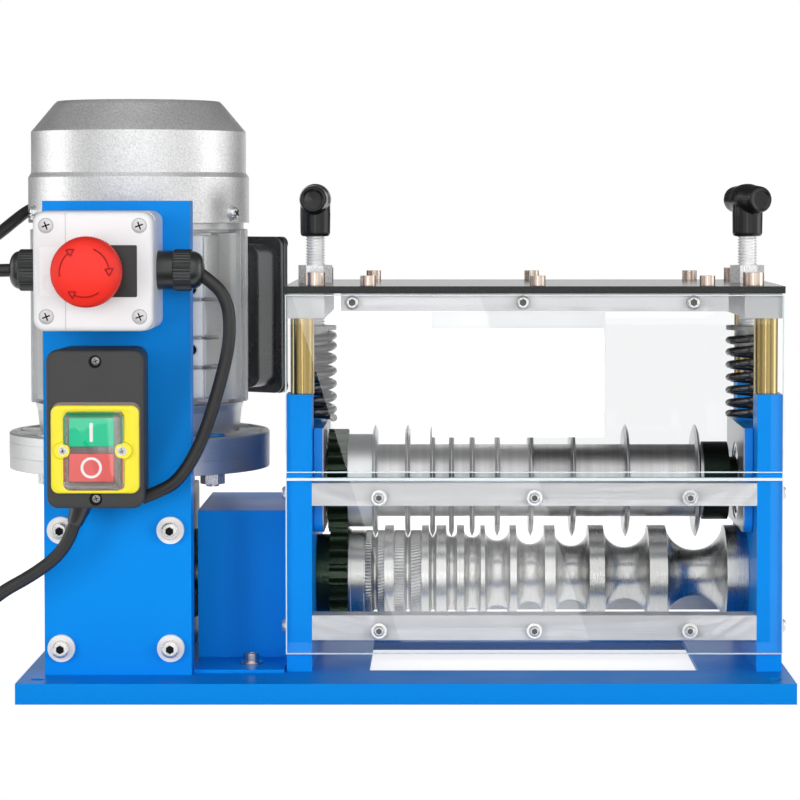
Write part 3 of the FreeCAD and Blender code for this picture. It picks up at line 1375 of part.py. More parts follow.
def build_switch():
    half = size.switch_width / 2
    centre = size.box_centre
    bottom = size.switch_bottom
    top = bottom + size.switch_height
    wall = size.box_wall
    front = size.switch_front
    blank = block("switch_blank", (centre - half, front, bottom), (centre + half, size.panel_front, top))
    blank = softened("switch_round", blank, 7, runs_along("Y"))
    hollow = block("switch_hollow", (centre - half + wall, front + wall, bottom + wall),
                   (centre + half - wall, size.panel_front - wall, top - wall))
    frame_half = size.frame_size / 2
    face_middle = size.frame_bottom + frame_half
    sight_centre = centre - 1.6
    wide, tall = size.button_width / 2, size.button_height / 2
    play = 0.25
    tools = [block("switch_key_hole", (sight_centre - wide - play, front, z - tall - play),
                   (sight_centre + wide + play, front + wall, z + tall + play))
             for z in (size.button_start_z, size.button_stop_z)]
    tools += [rod("switch_screw_sink", 3.6, (x, front, z), 0.4, "Y") for x, z in switch_box_screws()]
    tools += [rod("switch_screw_hole", 1.45, (x, front, z), wall, "Y") for x, z in switch_box_screws()]
    tools += [rod("key_screw_hole", 1.15, (x, front, z), wall, "Y") for x, z in key_screws()]
    tools.append(taper("switch_boot_hole", 6.65, 4.65, BOOT_START, BOOT_LENGTH, rotation=BOOT_TURN))
    tools.append(cord_hole("switch_cord_hole", LINK_ROUTE[:-3:-1]))
    shell = cut("switch_shell", blank, [hollow])
    node("switch_box", cut("switch_box", shell, tools))
    sight_half = size.sight_width / 2
    outline = rectangle((centre - frame_half, size.frame_bottom),
                        (centre + frame_half, size.frame_bottom + size.frame_size))
    sight = rectangle((sight_centre - sight_half, face_middle - size.sight_height / 2),
                      (sight_centre + sight_half, face_middle + size.sight_height / 2))
    node("switch_frame", plate("switch_frame", "XZ", outline, size.frame_thick, (0, front, 0),
                               cutouts=[sight]))
    for label, z in (("start_button", size.button_start_z), ("stop_button", size.button_stop_z)):
        key = block(label + "_key", (sight_centre - wide, size.button_face, z - tall),
                    (sight_centre + wide, front + 8, z + tall))
        node(label, softened(label + "_round", key, 1.5, runs_along("Y")))
    rim = front - size.frame_thick
    outer = block("switch_cover_blank", (sight_centre - sight_half + 0.3, size.cover_bulge,
                                         face_middle - size.sight_height / 2 + 0.3),
                  (sight_centre + sight_half - 0.3, rim, face_middle + size.sight_height / 2 - 0.3))
    outer = softened("switch_cover_round", outer, 3, runs_along("Y"))
    inner = block("switch_cover_hollow", (sight_centre - sight_half + 1.3, size.cover_bulge + 1,
                                          face_middle - size.sight_height / 2 + 1.3),
                  (sight_centre + sight_half - 1.3, rim, face_middle + size.sight_height / 2 - 1.3))
    lip = block("switch_cover_lip", (sight_centre - sight_half - 1.5, rim - 0.8,
                                     face_middle - size.sight_height / 2 - 1.5),
                (sight_centre + sight_half + 1.5, rim, face_middle + size.sight_height / 2 + 1.5))
    node("switch_cover", cut("switch_cover", joined("switch_cover_shell", [outer, lip]), [inner]))


# Cords

LINK_ROUTE = [
    (-121, -95, 250), (-109.1, -95, 241.7), (-103.6, -95, 233.9), (-101.1, -95, 223.7),
    (-101.4, -95, 208), (-105, -95, 191.5), (-110.3, -95, 173), (-115.8, -94.8, 156),
    (-122.3, -94.5, 142), (-129.5, -94.2, 131.2), (-137.3, -94, 124.2), (-152, -94, 118.7),
]
MOTOR_ROUTE = [
    (-222, -95, 250), (-240, -94.6, 249.6), (-256, -90.5, 249), (-267.5, -80, 249),
    (-273, -63, 250), (-272, -43, 252.5), (-266.5, -20, 257), (-259.5, 3, 262.5),
    (-252.5, 25, 269.4), (-246, 47, 277.4), (-240.3, 69, 284.2), (-238.5, 90, 284.5),
    (-236, 112, 275.5), (-229, 135, 257), (-216, 152, 238), (-201, 159.8, 224),
    (-186.93, 155.48, 216), (-175.06, 148.06, 216),
]
MAINS_ROUTE = [
    (-191.19, -92, 103.34), (-194.44, -92, 94.41), (-199.8, -92, 86.5), (-207.4, -91.7, 79.6),
    (-219.5, -91.2, 71.6), (-233, -90.5, 64.3), (-246.5, -89.5, 53), (-258.5, -88.6, 38.5),
    (-270, -88, 22), (-282.5, -88, 8.8), (-297, -88, 3.75), (-308, -88, 3.75),
]


def rounded_route(points, radius_of_cord, name):
    """Straight runs joined by the largest tangent arcs that their lengths allow."""
    corners = [Vector(*[measure(c).value for c in point]) for point in points]
    curves, last = [], corners[0]
    radii = []
    for before, corner, after in zip(corners, corners[1:], corners[2:]):
        back, ahead = before - corner, after - corner
        shorter = min(back.Length, ahead.Length)
        turn = math.pi - back.getAngle(ahead)
        back.normalize()
        ahead.normalize()
        reach = 0.45 * shorter
        start, end = corner + back * reach, corner + ahead * reach
        radii.append(reach / math.tan(turn / 2))
        if (start - last).Length > 1e-6:
            curves.append(Part.LineSegment(last, start))
        curves.append(bisect_arc(start, corner, end))
        last = end
    curves.append(Part.LineSegment(last, corners[-1]))
    length = sum(curve.length() for curve in curves)
    print("%s radii %s length %.1f" % (name, " ".join("%.0f" % r for r in radii), length))
    return curves, length


def cord(label, points):
    curves, length = rounded_route(points, size.cord_radius.value, label)
    thing = doc.addObject("Part::Feature", label)
    radius = size.cord_radius.value
    thing.Shape = tube(curves, radius)
    ideal = math.pi * radius * radius * length
    print("%s volume against section times length %.4f" % (label, thing.Shape.Volume / ideal))
    node(label, thing)


def build_cords():
    cord("link_cord", LINK_ROUTE)
    cord("motor_lead", MOTOR_ROUTE)
    cord("mains_cord", MAINS_ROUTE)
    build_coil()
    build_plug()


def half_turn(point, side, radius):
    """A level half circle from a point on the coil's fore and aft line, bulging to one side."""
    far = Vector(point.x, point.y - 2 * radius * side, point.z)
    bulge = Vector(point.x + radius * side, point.y - radius * side, point.z)
    return Part.Arc(point, bulge, far), far


def coil_curves():
    """Loops that spiral in on the floor, climb and spiral out again on top."""
    outer, step = size.coil_outer.value, size.coil_step.value
    low = size.cord_radius.value
    point = Vector(size.coil_centre_x.value, size.coil_centre_y.value - outer, low)
    side = -1
    curves = []
    for number in range(5):
        arc, point = half_turn(point, side, outer - step / 2 * number)
        curves.append(arc)
        side = -side
    # the climbing half turn
    radius = outer - step * 2.5
    end = Vector(point.x, point.y - 2 * radius * side, low + step)
    middle = Vector(point.x + radius * side, point.y - radius * side, low + step / 2)
    climb = Vector(0, -side, step / (math.pi * radius) * 1.5).normalize()
    curves += biarc(point, Vector(side, 0, 0), middle, climb)
    curves += biarc(middle, climb, end, Vector(-side, 0, 0))
    point, side = end, -side
    for steps_in in (2.25, 1.5, 1, 0.5):
        arc, point = half_turn(point, side, outer - step * steps_in)
        curves.append(arc)
        side = -side
    return curves, point, side


def build_coil():
    curves, point, side = coil_curves()
    radius = size.coil_outer.value
    low = size.cord_radius.value
    high = point.z
    quarter = math.sqrt(0.5) * radius
    left = Vector(point.x + radius * side, point.y - radius * side, high)
    corner = Vector(point.x + quarter * side, point.y - (radius - quarter) * side, high)
    curves.append(Part.Arc(point, corner, left))
    tail = [tuple(left), (left.x, left.y + 30, high), (left.x + 0.6, left.y + 55, 6),
            (left.x, left.y + 78, PLUG_HALF_HEIGHT), (left.x, left.y + 96, PLUG_HALF_HEIGHT)]
    tail_curves, _ = rounded_route(tail, low, "mains_coil tail")
    curves += tail_curves
    thing = doc.addObject("Part::Feature", "mains_coil")
    thing.Shape = tube(curves, low)
    length = sum(curve.length() for curve in curves)
    print("mains_coil length %.0f, least gap to itself %.2f" % (length, self_gap(curves, low)))
    print("mains_coil volume against section times length %.4f"
          % (thing.Shape.Volume / (math.pi * low * low * length)))
    node("mains_coil", thing)
    build_coil.end = tail[-1]


PLUG_HALF_HEIGHT = 9.0


def build_plug():
    x, y, z = build_coil.end
    grip = block("plug_grip", (x - 12, y + 14, z - PLUG_HALF_HEIGHT), (x + 12, y + 44, z + 9))
    grip = softened("plug_grip_round", grip, 4, runs_along("Y"))
    boot = taper("plug_boot", 5.2, 8, (x, y, z), 15, "Y")
    blades = [block("plug_blade", (x + dx - 0.8, y + 43, z - 3.1), (x + dx + 0.8, y + 61, z + 3.1))
              for dx in (-6.35, 6.35)]
    node("mains_plug", joined("mains_plug", [grip, boot] + blades))


# Build, check and write

def main():
    build_base()
    for name, side in SIDES.items():
        build_upright(name + "_upright", side)
    build_posts()
    build_end_blocks()
    build_top_plate()
    build_bars()
    build_guards()
    build_cards()
    build_cap_screws()
    build_pan_screws()
    build_hex_fasteners()
    build_blocks()
    build_bearings()
    build_springs()
    build_pressure_screws()
    build_lower_roller()
    build_arbor()
    build_panel()
    build_cover()
    build_gearbox()
    build_motor()
    build_terminal_box()
    build_stop_box()
    build_switch()
    build_glands()
    build_cords()
    doc.recompute()
    check_document()
    write_parts()


def check_document():
    for thing in doc.Objects:
        bad = [word for word in thing.State if word in ("Invalid", "Error")]
        if bad:
            raise RuntimeError("%s is %s" % (thing.Name, ", ".join(bad)))
    for thing in NODES:
        if thing.Shape.isNull() or not thing.Shape.isValid():
            raise RuntimeError("%s has no valid shape" % thing.Label)
        if not thing.Shape.Solids:
            raise RuntimeError("%s holds no solid" % thing.Label)


def write_parts():
    os.makedirs("parts", exist_ok=True)
    for thing in NODES:
        thing.Shape.exportStep("parts/%s.step" % thing.Label)
        print("%-20s %3d solids %9.0f mm3" % (thing.Label, len(thing.Shape.Solids),
                                              thing.Shape.Volume))


main()
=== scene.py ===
import math

import bmesh
import bpy
from mathutils import Matrix, Vector


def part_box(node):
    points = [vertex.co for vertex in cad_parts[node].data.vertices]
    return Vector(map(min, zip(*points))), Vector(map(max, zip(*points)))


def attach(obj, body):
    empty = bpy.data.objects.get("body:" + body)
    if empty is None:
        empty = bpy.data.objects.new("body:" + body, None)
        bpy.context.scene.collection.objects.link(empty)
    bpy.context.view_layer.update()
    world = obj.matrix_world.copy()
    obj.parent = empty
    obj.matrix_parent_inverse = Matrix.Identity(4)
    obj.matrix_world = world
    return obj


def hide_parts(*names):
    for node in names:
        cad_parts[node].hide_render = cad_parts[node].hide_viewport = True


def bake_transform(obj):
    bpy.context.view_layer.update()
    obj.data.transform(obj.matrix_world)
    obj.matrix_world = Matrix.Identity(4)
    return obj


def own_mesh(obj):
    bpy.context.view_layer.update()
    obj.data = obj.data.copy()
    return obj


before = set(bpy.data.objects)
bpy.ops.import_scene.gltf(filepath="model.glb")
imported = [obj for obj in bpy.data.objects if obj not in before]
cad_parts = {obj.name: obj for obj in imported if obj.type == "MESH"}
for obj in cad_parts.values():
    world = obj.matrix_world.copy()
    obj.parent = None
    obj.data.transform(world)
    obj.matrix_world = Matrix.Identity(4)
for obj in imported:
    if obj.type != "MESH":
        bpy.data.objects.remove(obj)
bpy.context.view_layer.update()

# Sizes are in millimetres in the row frame, and become metres when a piece is made.
METRE = 0.001
X_AXIS, Y_AXIS, Z_AXIS = Vector((1, 0, 0)), Vector((0, 1, 0)), Vector((0, 0, 1))


def box_of(node):
    low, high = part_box(node)
    return low / METRE, high / METRE


def middle_of(node):
    low, high = box_of(node)
    return (low + high) / 2


# Camera and lamps

CAMERA_PLACE = (25.3, -1700, 290)
CAMERA_PITCH = 2.45
PHOTO_WIDTH = 800
FOCAL_PIXELS = 2800
SENSOR = 36
CENTRE_PIXEL = (450, 320)


def set_camera():
    """The photograph's own perspective: its centre line lies right of the middle and above it."""
    data = bpy.data.cameras.new("camera")
    data.sensor_width = SENSOR
    data.lens = FOCAL_PIXELS * SENSOR / PHOTO_WIDTH
    data.shift_x = (PHOTO_WIDTH / 2 - CENTRE_PIXEL[0]) / PHOTO_WIDTH
    data.shift_y = (CENTRE_PIXEL[1] - PHOTO_WIDTH / 2) / PHOTO_WIDTH
    data.clip_end = 20
    camera = bpy.data.objects.new("camera", data)
    camera.location = Vector(CAMERA_PLACE) * METRE
    camera.rotation_euler = (math.radians(90 - CAMERA_PITCH), 0, 0)
    bpy.context.collection.objects.link(camera)
    bpy.context.scene.camera = camera


def add_lamp(name, place, target, size, watts, tilt=0.0):
    data = bpy.data.lights.new(name, "AREA")
    data.shape = "RECTANGLE"
    data.size, data.size_y = size[0] * METRE, size[1] * METRE
    data.energy = watts
    lamp = bpy.data.objects.new(name, data)
    lamp.location = Vector(place) * METRE
    aim = (Vector(place) - Vector(target)).to_track_quat("Z", "Y").to_matrix().to_4x4()
    lamp.rotation_euler = (aim @ Matrix.Rotation(math.radians(tilt), 4, "Z")).to_euler()
    bpy.context.collection.objects.link(lamp)
    return lamp


# name, place, what it points at, width and height, watts
SOFTBOXES = [
    ("left_softbox", (-1150, -1350, 260), (-40, 0, 150), (700, 1300), 13),
    ("right_softbox", (1250, -1300, 240), (40, 0, 150), (700, 1300), 13),
    ("front_softbox", (60, -2200, 600), (40, 0, 130), (1500, 700), 14.5),
    ("top_softbox", (0, -600, 1500), (0, 0, 100), (1400, 600), 0.5),
    ("rear_softbox", (0, 1400, 900), (0, 0, 150), (1600, 700), 9),
]
SHEEN_LAMP = ("guard_sheen", (17, -2300, -98), (25, -61, 126), (250, 900), 2.2)
SHEEN_TILT = 17.5


def set_lamps():
    """Soft lamps for the shading. What gloss mirrors is the studio's own cards, so these stay out of it."""
    for settings in SOFTBOXES:
        lamp = add_lamp(*settings)
        lamp.visible_glossy = False
    # a narrow light behind the camera, seen slanting across both clear guards
    add_lamp(*SHEEN_LAMP, tilt=SHEEN_TILT)


FILL_COLOUR = (0.95, 0.97, 1, 1)
FILL_STRENGTH = 0.18


def set_world():
    """White for the camera, for gloss and through glass, and a plain soft fill for everything else."""
    world = bpy.data.worlds.new("studio")
    bpy.context.scene.world = world
    world.use_nodes = True
    tree = world.node_tree
    tree.nodes.clear()
    paths = tree.nodes.new("ShaderNodeLightPath")
    seen = background_rays(tree, paths)
    white = tree.nodes.new("ShaderNodeBackground")
    white.inputs["Color"].default_value = (1, 1, 1, 1)
    fill = tree.nodes.new("ShaderNodeBackground")
    fill.inputs["Color"].default_value = FILL_COLOUR
    fill.inputs["Strength"].default_value = FILL_STRENGTH
    mix = tree.nodes.new("ShaderNodeMixShader")
    out = tree.nodes.new("ShaderNodeOutputWorld")
    tree.links.new(seen, mix.inputs["Fac"])
    tree.links.new(fill.outputs[0], mix.inputs[1])
    tree.links.new(white.outputs[0], mix.inputs[2])
    tree.links.new(mix.outputs[0], out.inputs["Surface"])


def background_rays(tree, paths):
    """1 for what the camera sees directly, mirrored or through glass."""
    both = tree.nodes.new("ShaderNodeMath")
    both.operation = "MAXIMUM"
    tree.links.new(paths.outputs["Is Camera Ray"], both.inputs[0])
    tree.links.new(paths.outputs["Is Glossy Ray"], both.inputs[1])
    more = tree.nodes.new("ShaderNodeMath")
    more.operation = "MAXIMUM"
    tree.links.new(both.outputs[0], more.inputs[0])
    tree.links.new(paths.outputs["Is Transmission Ray"], more.inputs[1])
    return more.outputs[0]


def studio_sheet(name, corners, material):
    """One flat sheet of the studio, which isn't part of the machine."""
    bm = bmesh.new()
    bm.faces.new([bm.verts.new(corner) for corner in corners])
    bm.transform(Matrix.Scale(METRE, 4))
    mesh = bpy.data.meshes.new(name)
    bm.to_mesh(mesh)
    bm.free()
    mesh.materials.append(material)
    sheet = bpy.data.objects.new(name, mesh)
    bpy.context.collection.objects.link(sheet)
    return sheet


FLOOR_FRONT = -250
FLOOR_REACH = 1500
FLOOR_DROP = -0.2
FLOOR_GREY = (0.6, 0.6, 0.6, 1)
FLOOR_GLOW = 0.80


def add_floor():
    """A white floor that keeps the shadow. It ends in front, so the sheen lamp is seen below its edge."""
    material = bpy.data.materials.new("floor_white")
    material.use_nodes = True
    tree = material.node_tree
    tree.nodes.clear()
    paths = tree.nodes.new("ShaderNodeLightPath")
    matt = tree.nodes.new("ShaderNodeBsdfDiffuse")
    matt.inputs["Color"].default_value = FLOOR_GREY
    glow = tree.nodes.new("ShaderNodeEmission")
    glow.inputs["Strength"].default_value = FLOOR_GLOW
    both = tree.nodes.new("ShaderNodeAddShader")
    plain = tree.nodes.new("ShaderNodeMixShader")
    out = tree.nodes.new("ShaderNodeOutputMaterial")
    tree.links.new(matt.outputs[0], both.inputs[0])
    tree.links.new(glow.outputs[0], both.inputs[1])
    tree.links.new(background_rays(tree, paths), plain.inputs["Fac"])
    tree.links.new(matt.outputs[0], plain.inputs[1])
    tree.links.new(both.outputs[0], plain.inputs[2])
    tree.links.new(plain.outputs[0], out.inputs["Surface"])
    studio_sheet("floor", [(-FLOOR_REACH, FLOOR_FRONT, FLOOR_DROP), (FLOOR_REACH, FLOOR_FRONT, FLOOR_DROP),
                           (FLOOR_REACH, FLOOR_REACH, FLOOR_DROP), (-FLOOR_REACH, FLOOR_REACH, FLOOR_DROP)],
                 material)


# The studio is a room of cards: a front wall behind the camera, two side walls, a rear wall and a ceiling.
FRONT_WALL, REAR_WALL, SIDE_WALL, CEILING = -3600, 1500, 2600, 2600
ROOM_REACH = 3500
ROOM_FLOOR = -900
CARD_LINE = 330


def wall_card(left, right, bottom, top, wall=FRONT_WALL):
    return [(left, wall, bottom), (right, wall, bottom), (right, wall, top), (left, wall, top)]


def side_card(wall, near, far, bottom=-400, top=1500):
    return [(wall, near, bottom), (wall, far, bottom), (wall, far, top), (wall, near, top)]


def level_card(near, far, near_height=CEILING, far_height=CEILING):
    return [(-ROOM_REACH, near, near_height), (ROOM_REACH, near, near_height),
            (ROOM_REACH, far, far_height), (-ROOM_REACH, far, far_height)]


# brightness and corners of each card; cards that share a side wall hang 1 mm behind one another
STUDIO_CARDS = [
    (0.85, wall_card(-ROOM_REACH, -620, ROOM_FLOOR, CARD_LINE)),
    (1.05, wall_card(620, ROOM_REACH, ROOM_FLOOR, CARD_LINE)),
    (1.15, wall_card(-ROOM_REACH, ROOM_REACH, CARD_LINE, 1900)),
    (0.02, wall_card(-620, 620, ROOM_FLOOR, 60)),
    (1.15, wall_card(-620, 620, 60, CARD_LINE)),
    (1.35, level_card(FRONT_WALL, -1400, near_height=1900)),
    (0.38, level_card(-1400, -400)),
    (0.20, level_card(-400, REAR_WALL)),
    (2.00, side_card(-SIDE_WALL + 1, -420, 420)),
    (2.60, side_card(SIDE_WALL - 1, -420, 420)),
    (1.20, side_card(-SIDE_WALL, -950, 1250)),
    (1.10, side_card(SIDE_WALL, -950, 1250)),
    (0.45, side_card(-SIDE_WALL - 1, FRONT_WALL, REAR_WALL, -1500, CEILING)),
    (0.80, side_card(SIDE_WALL + 1, FRONT_WALL, REAR_WALL, -1500, CEILING)),
    (0.10, wall_card(-SIDE_WALL, SIDE_WALL, 620, CEILING, wall=REAR_WALL)),
    (0.10, wall_card(-SIDE_WALL, -640, -1500, 620, wall=REAR_WALL)),
    (0.10, wall_card(640, SIDE_WALL, -1500, 620, wall=REAR_WALL)),
    (0.10, level_card(FRONT_WALL, FLOOR_FRONT, ROOM_FLOOR, ROOM_FLOOR)),
]


def add_studio_cards():
    """Cards and flags that only gloss sees: bright beside the machine, dark behind and by the camera."""
    for number, (level, corners) in enumerate(STUDIO_CARDS, start=1):
        name = "studio_card_%d" % number
        shine = bpy.data.materials.new(name)
        shine.use_nodes = True
        tree = shine.node_tree
        tree.nodes.clear()
        glow = tree.nodes.new("ShaderNodeEmission")
        glow.inputs["Strength"].default_value = level
        out = tree.nodes.new("ShaderNodeOutputMaterial")
        tree.links.new(glow.outputs[0], out.inputs["Surface"])
        card = studio_sheet(name, corners, shine)
        card.visible_camera = False
        card.visible_diffuse = False
        card.visible_shadow = False
        # the rear wall's cards would hide the white that is seen through the guards
        card.visible_transmission = min(y for x, y, z in corners) < REAR_WALL


# Shared surface effects, each a group with named inputs and outputs

class Wiring:
    """Places nodes in a tree and links them by name."""

    def __init__(self, tree):
        self.tree = tree

    def put(self, target, value):
        if isinstance(value, bpy.types.NodeSocket):
            self.tree.links.new(value, target)
        else:
            target.default_value = value

    def node(self, kind, **settings):
        made = self.tree.nodes.new("ShaderNode" + kind)
        for key, value in settings.items():
            setattr(made, key, value)
        return made

    def math(self, operation, *values):
        made = self.node("Math", operation=operation)
        for socket, value in zip(made.inputs, values):
            self.put(socket, value)
        return made.outputs[0]

    def vector(self, operation, *values):
        made = self.node("VectorMath", operation=operation)
        for socket, value in zip(made.inputs, values):
            self.put(socket, value)
        return made.outputs["Value" if operation in ("DOT_PRODUCT", "LENGTH") else "Vector"]

    def rescale(self, value, low, high, new_low=0.0, new_high=1.0):
        made = self.node("MapRange")
        for label, amount in (("Value", value), ("From Min", low), ("From Max", high),
                              ("To Min", new_low), ("To Max", new_high)):
            self.put(made.inputs[label], amount)
        return made.outputs["Result"]

    def mix_colour(self, share, first, second):
        made = self.node("Mix", data_type="RGBA")
        for index, value in ((0, share), (6, first), (7, second)):
            self.put(made.inputs[index], value)
        return made.outputs[2]

    def noise(self, place, scale, detail=3.0, rough=0.5):
        made = self.node("TexNoise")
        for label, value in (("Vector", place), ("Scale", scale), ("Detail", detail),
                             ("Roughness", rough)):
            self.put(made.inputs[label], value)
        return made.outputs["Fac"]

    def place(self):
        """The point on the surface in metres, in the row frame at rest."""
        return self.node("TexCoord").outputs["Object"]

    def split(self, place):
        made = self.node("SeparateXYZ")
        self.put(made.inputs[0], place)
        return made.outputs


class SharedGroup(Wiring):
    """A node group: what it is given, by name, and what it gives back."""

    def __init__(self, name, inputs, outputs):
        super().__init__(bpy.data.node_groups.new(name, "ShaderNodeTree"))
        for label, kind, value in inputs:
            socket = self.tree.interface.new_socket(label, in_out="INPUT", socket_type="NodeSocket" + kind)
            socket.default_value = value
        for label, kind in outputs:
            self.tree.interface.new_socket(label, in_out="OUTPUT", socket_type="NodeSocket" + kind)
        self.given = self.tree.nodes.new("NodeGroupInput").outputs
        self.result = self.tree.nodes.new("NodeGroupOutput").inputs

    def give(self, label, value):
        self.put(self.result[label], value)


def group_soft_edges():
    """Edges rounded in the shading, and a mask of where they would rub bright."""
    g = SharedGroup("soft_edges", [("Radius", "Float", 0.0004), ("Wear Scale", "Float", 900.0)],
                    [("Normal", "Vector"), ("Wear", "Float")])
    bevel = g.node("Bevel", samples=6)
    g.put(bevel.inputs["Radius"], g.given["Radius"])
    flat = g.node("NewGeometry").outputs["Normal"]
    turn = g.math("SUBTRACT", 1.0, g.vector("DOT_PRODUCT", bevel.outputs[0], flat))
    patchy = g.noise(g.place(), g.given["Wear Scale"], 2.0)
    g.give("Normal", bevel.outputs[0])
    g.give("Wear", g.math("MULTIPLY", g.rescale(turn, 0.02, 0.16), g.rescale(patchy, 0.42, 0.62)))
    return g.tree


def group_grain():
    """An even fine grain, such as orange peel, crinkle coat or a cast skin."""
    g = SharedGroup("grain", [("Scale", "Float", 1500.0), ("Coarse", "Float", 0.25)],
                    [("Height", "Float"), ("Speck", "Float")])
    place = g.place()
    fine = g.noise(place, g.given["Scale"], 2.0, 0.6)
    broad = g.noise(place, g.math("MULTIPLY", g.given["Scale"], g.given["Coarse"]), 1.0)
    g.give("Height", g.math("ADD", fine, g.math("MULTIPLY", broad, 0.8)))
    g.give("Speck", g.rescale(fine, 0.35, 0.7))
    return g.tree


def group_brushed():
    """Long streaks along one direction: the scale is small along it and large across it."""
    g = SharedGroup("brushed_streaks", [("Scales", "Vector", (60.0, 2500.0, 2500.0))],
                    [("Streak", "Float"), ("Band", "Float")])
    place = g.vector("MULTIPLY", g.place(), g.given["Scales"])
    g.give("Streak", g.rescale(g.noise(place, 1.0, 4.0, 0.65), 0.3, 0.7))
    broad = g.vector("MULTIPLY", place, (0.12, 0.12, 0.12))
    g.give("Band", g.rescale(g.noise(broad, 1.0, 2.0), 0.3, 0.7))
    return g.tree


def group_turned():
    """Turning marks of a lathe or grinder: rings along the X axis and circles on the faces."""
    g = SharedGroup("turning_marks", [("Centre", "Vector", (0.0, 0.0, 0.0)), ("Scale", "Float", 2500.0)],
                    [("Ring", "Float"), ("Band", "Float"), ("Along", "Float")])
    arm = g.vector("SUBTRACT", g.place(), g.given["Centre"])
    along = g.vector("DOT_PRODUCT", arm, X_AXIS)
    away = g.vector("LENGTH", g.vector("CROSS_PRODUCT", arm, X_AXIS))
    pair = g.node("CombineXYZ")
    g.put(pair.inputs["X"], along)
    g.put(pair.inputs["Y"], away)
    ring = g.noise(pair.outputs[0], g.given["Scale"], 3.0, 0.7)
    band = g.noise(pair.outputs[0], g.math("MULTIPLY", g.given["Scale"], 0.09), 2.0)
    g.give("Ring", g.rescale(ring, 0.3, 0.7))
    g.give("Band", g.rescale(band, 0.35, 0.65))
    g.give("Along", along)
    return g.tree


def group_smudges():
    """Broad soft patches of handling and oil."""
    g = SharedGroup("smudges", [("Scale", "Float", 28.0)], [("Patch", "Float")])
    g.give("Patch", g.rescale(g.noise(g.place(), g.given["Scale"], 4.0, 0.6), 0.3, 0.7))
    return g.tree


def group_settled_dust():
    """Fine dust on what faces up."""
    g = SharedGroup("settled_dust", [("Scale", "Float", 160.0)], [("Dust", "Float")])
    up = g.vector("DOT_PRODUCT", g.node("NewGeometry").outputs["Normal"], Z_AXIS)
    cloud = g.noise(g.place(), g.given["Scale"], 5.0, 0.7)
    g.give("Dust", g.math("MULTIPLY", g.rescale(up, 0.5, 1.0), g.rescale(cloud, 0.5, 0.75)))
    return g.tree


GROUPS = {
    "edges": group_soft_edges(),
    "grain": group_grain(),
    "brushed": group_brushed(),
    "turned": group_turned(),
    "smudges": group_smudges(),
    "dust": group_settled_dust(),
}


def grey(level):
    return (level, level, level)


def toned(colour, factor, lift=0.0):
    """The same hue made lighter or darker."""
    return tuple(min(1.0, channel * factor + lift) for channel in colour)


class Finish(Wiring):
    """One material: a Principled shader fed by the shared effects."""

    def __init__(self, name, colour, roughness, metallic=0.0, coat=0.0, coat_roughness=0.05,
                 specular=0.5, edge=0.4):
        self.material = bpy.data.materials.new(name)
        self.material.use_nodes = True
        super().__init__(self.material.node_tree)
        self.shader = self.tree.nodes["Principled BSDF"]
        self.colour = (*colour, 1.0)
        self.roughness = roughness
        self.normal = None
        self.set("Metallic", metallic)
        self.set("Coat Weight", coat)
        self.set("Coat Roughness", coat_roughness)
        self.set("Specular IOR Level", specular)
        if edge:
            edges = self.effect("edges", Radius=edge * METRE)
            self.normal = edges["Normal"]
            self.wear = edges["Wear"]
        else:
            # with no rubbed edges, half of the rubbed colour lies evenly all over
            self.wear = 0.5

    def set(self, label, value):
        self.put(self.shader.inputs[label], value)

    def effect(self, kind, **values):
        """Place a shared effect with this finish's own values, and give back what it puts out."""
        made = self.tree.nodes.new("ShaderNodeGroup")
        made.node_tree = GROUPS[kind]
        for label, value in values.items():
            self.put(made.inputs[label], value)
        return made.outputs

    def tint(self, mask, colour, amount=1.0):
        """Lay a colour over the finish, where the mask says and as thick as the amount says."""
        share = mask if amount == 1.0 else self.math("MULTIPLY", mask, amount)
        self.colour = self.mix_colour(share, self.colour, (*colour, 1.0))

    def roughen(self, mask, low, high):
        self.roughness = self.rescale(mask, 0.0, 1.0, low, high)

    def bump(self, height, depth):
        made = self.node("Bump")
        self.put(made.inputs["Distance"], depth * METRE)
        self.put(made.inputs["Height"], height)
        if self.normal is not None:
            self.put(made.inputs["Normal"], self.normal)
        self.normal = made.outputs["Normal"]

    def done(self):
        if self.normal is not None:
            self.set("Normal", self.normal)
        self.set("Base Color", self.colour)
        self.set("Roughness", self.roughness)
        return self.material


# Paints and coats

BLUE = (0.001, 0.265, 0.82)
SILVER = (0.70, 0.705, 0.70)
BLUE_BOLT_TOP = 165
BLUE_BOLT_LEFT = -150
GEARBOX_SHADE_TOP = 123.8


def fastener_finish():
    """Bright zinc, but the flange bolts' heads at the right take the base's blue."""
    f = Finish("bright_zinc_fasteners", grey(0.86), 0.26, metallic=0.5, edge=0.3)
    streaks = f.effect("brushed", Scales=(3000.0, 3000.0, 300.0))
    place = f.split(f.place())
    low = f.math("LESS_THAN", place["Z"], BLUE_BOLT_TOP * METRE)
    high = f.math("GREATER_THAN", place["Z"], GEARBOX_SHADE_TOP * METRE)
    right = f.math("GREATER_THAN", place["X"], BLUE_BOLT_LEFT * METRE)
    painted = f.math("MULTIPLY", f.math("MULTIPLY", low, high), right)
    f.tint(streaks["Streak"], grey(0.62), 0.15)
    f.tint(painted, BLUE)
    f.set("Metallic", f.rescale(painted, 0.0, 1.0, 0.5, 0.0))
    f.roughen(streaks["Streak"], 0.22, 0.34)
    f.bump(streaks["Streak"], 0.002)
    return f.done()


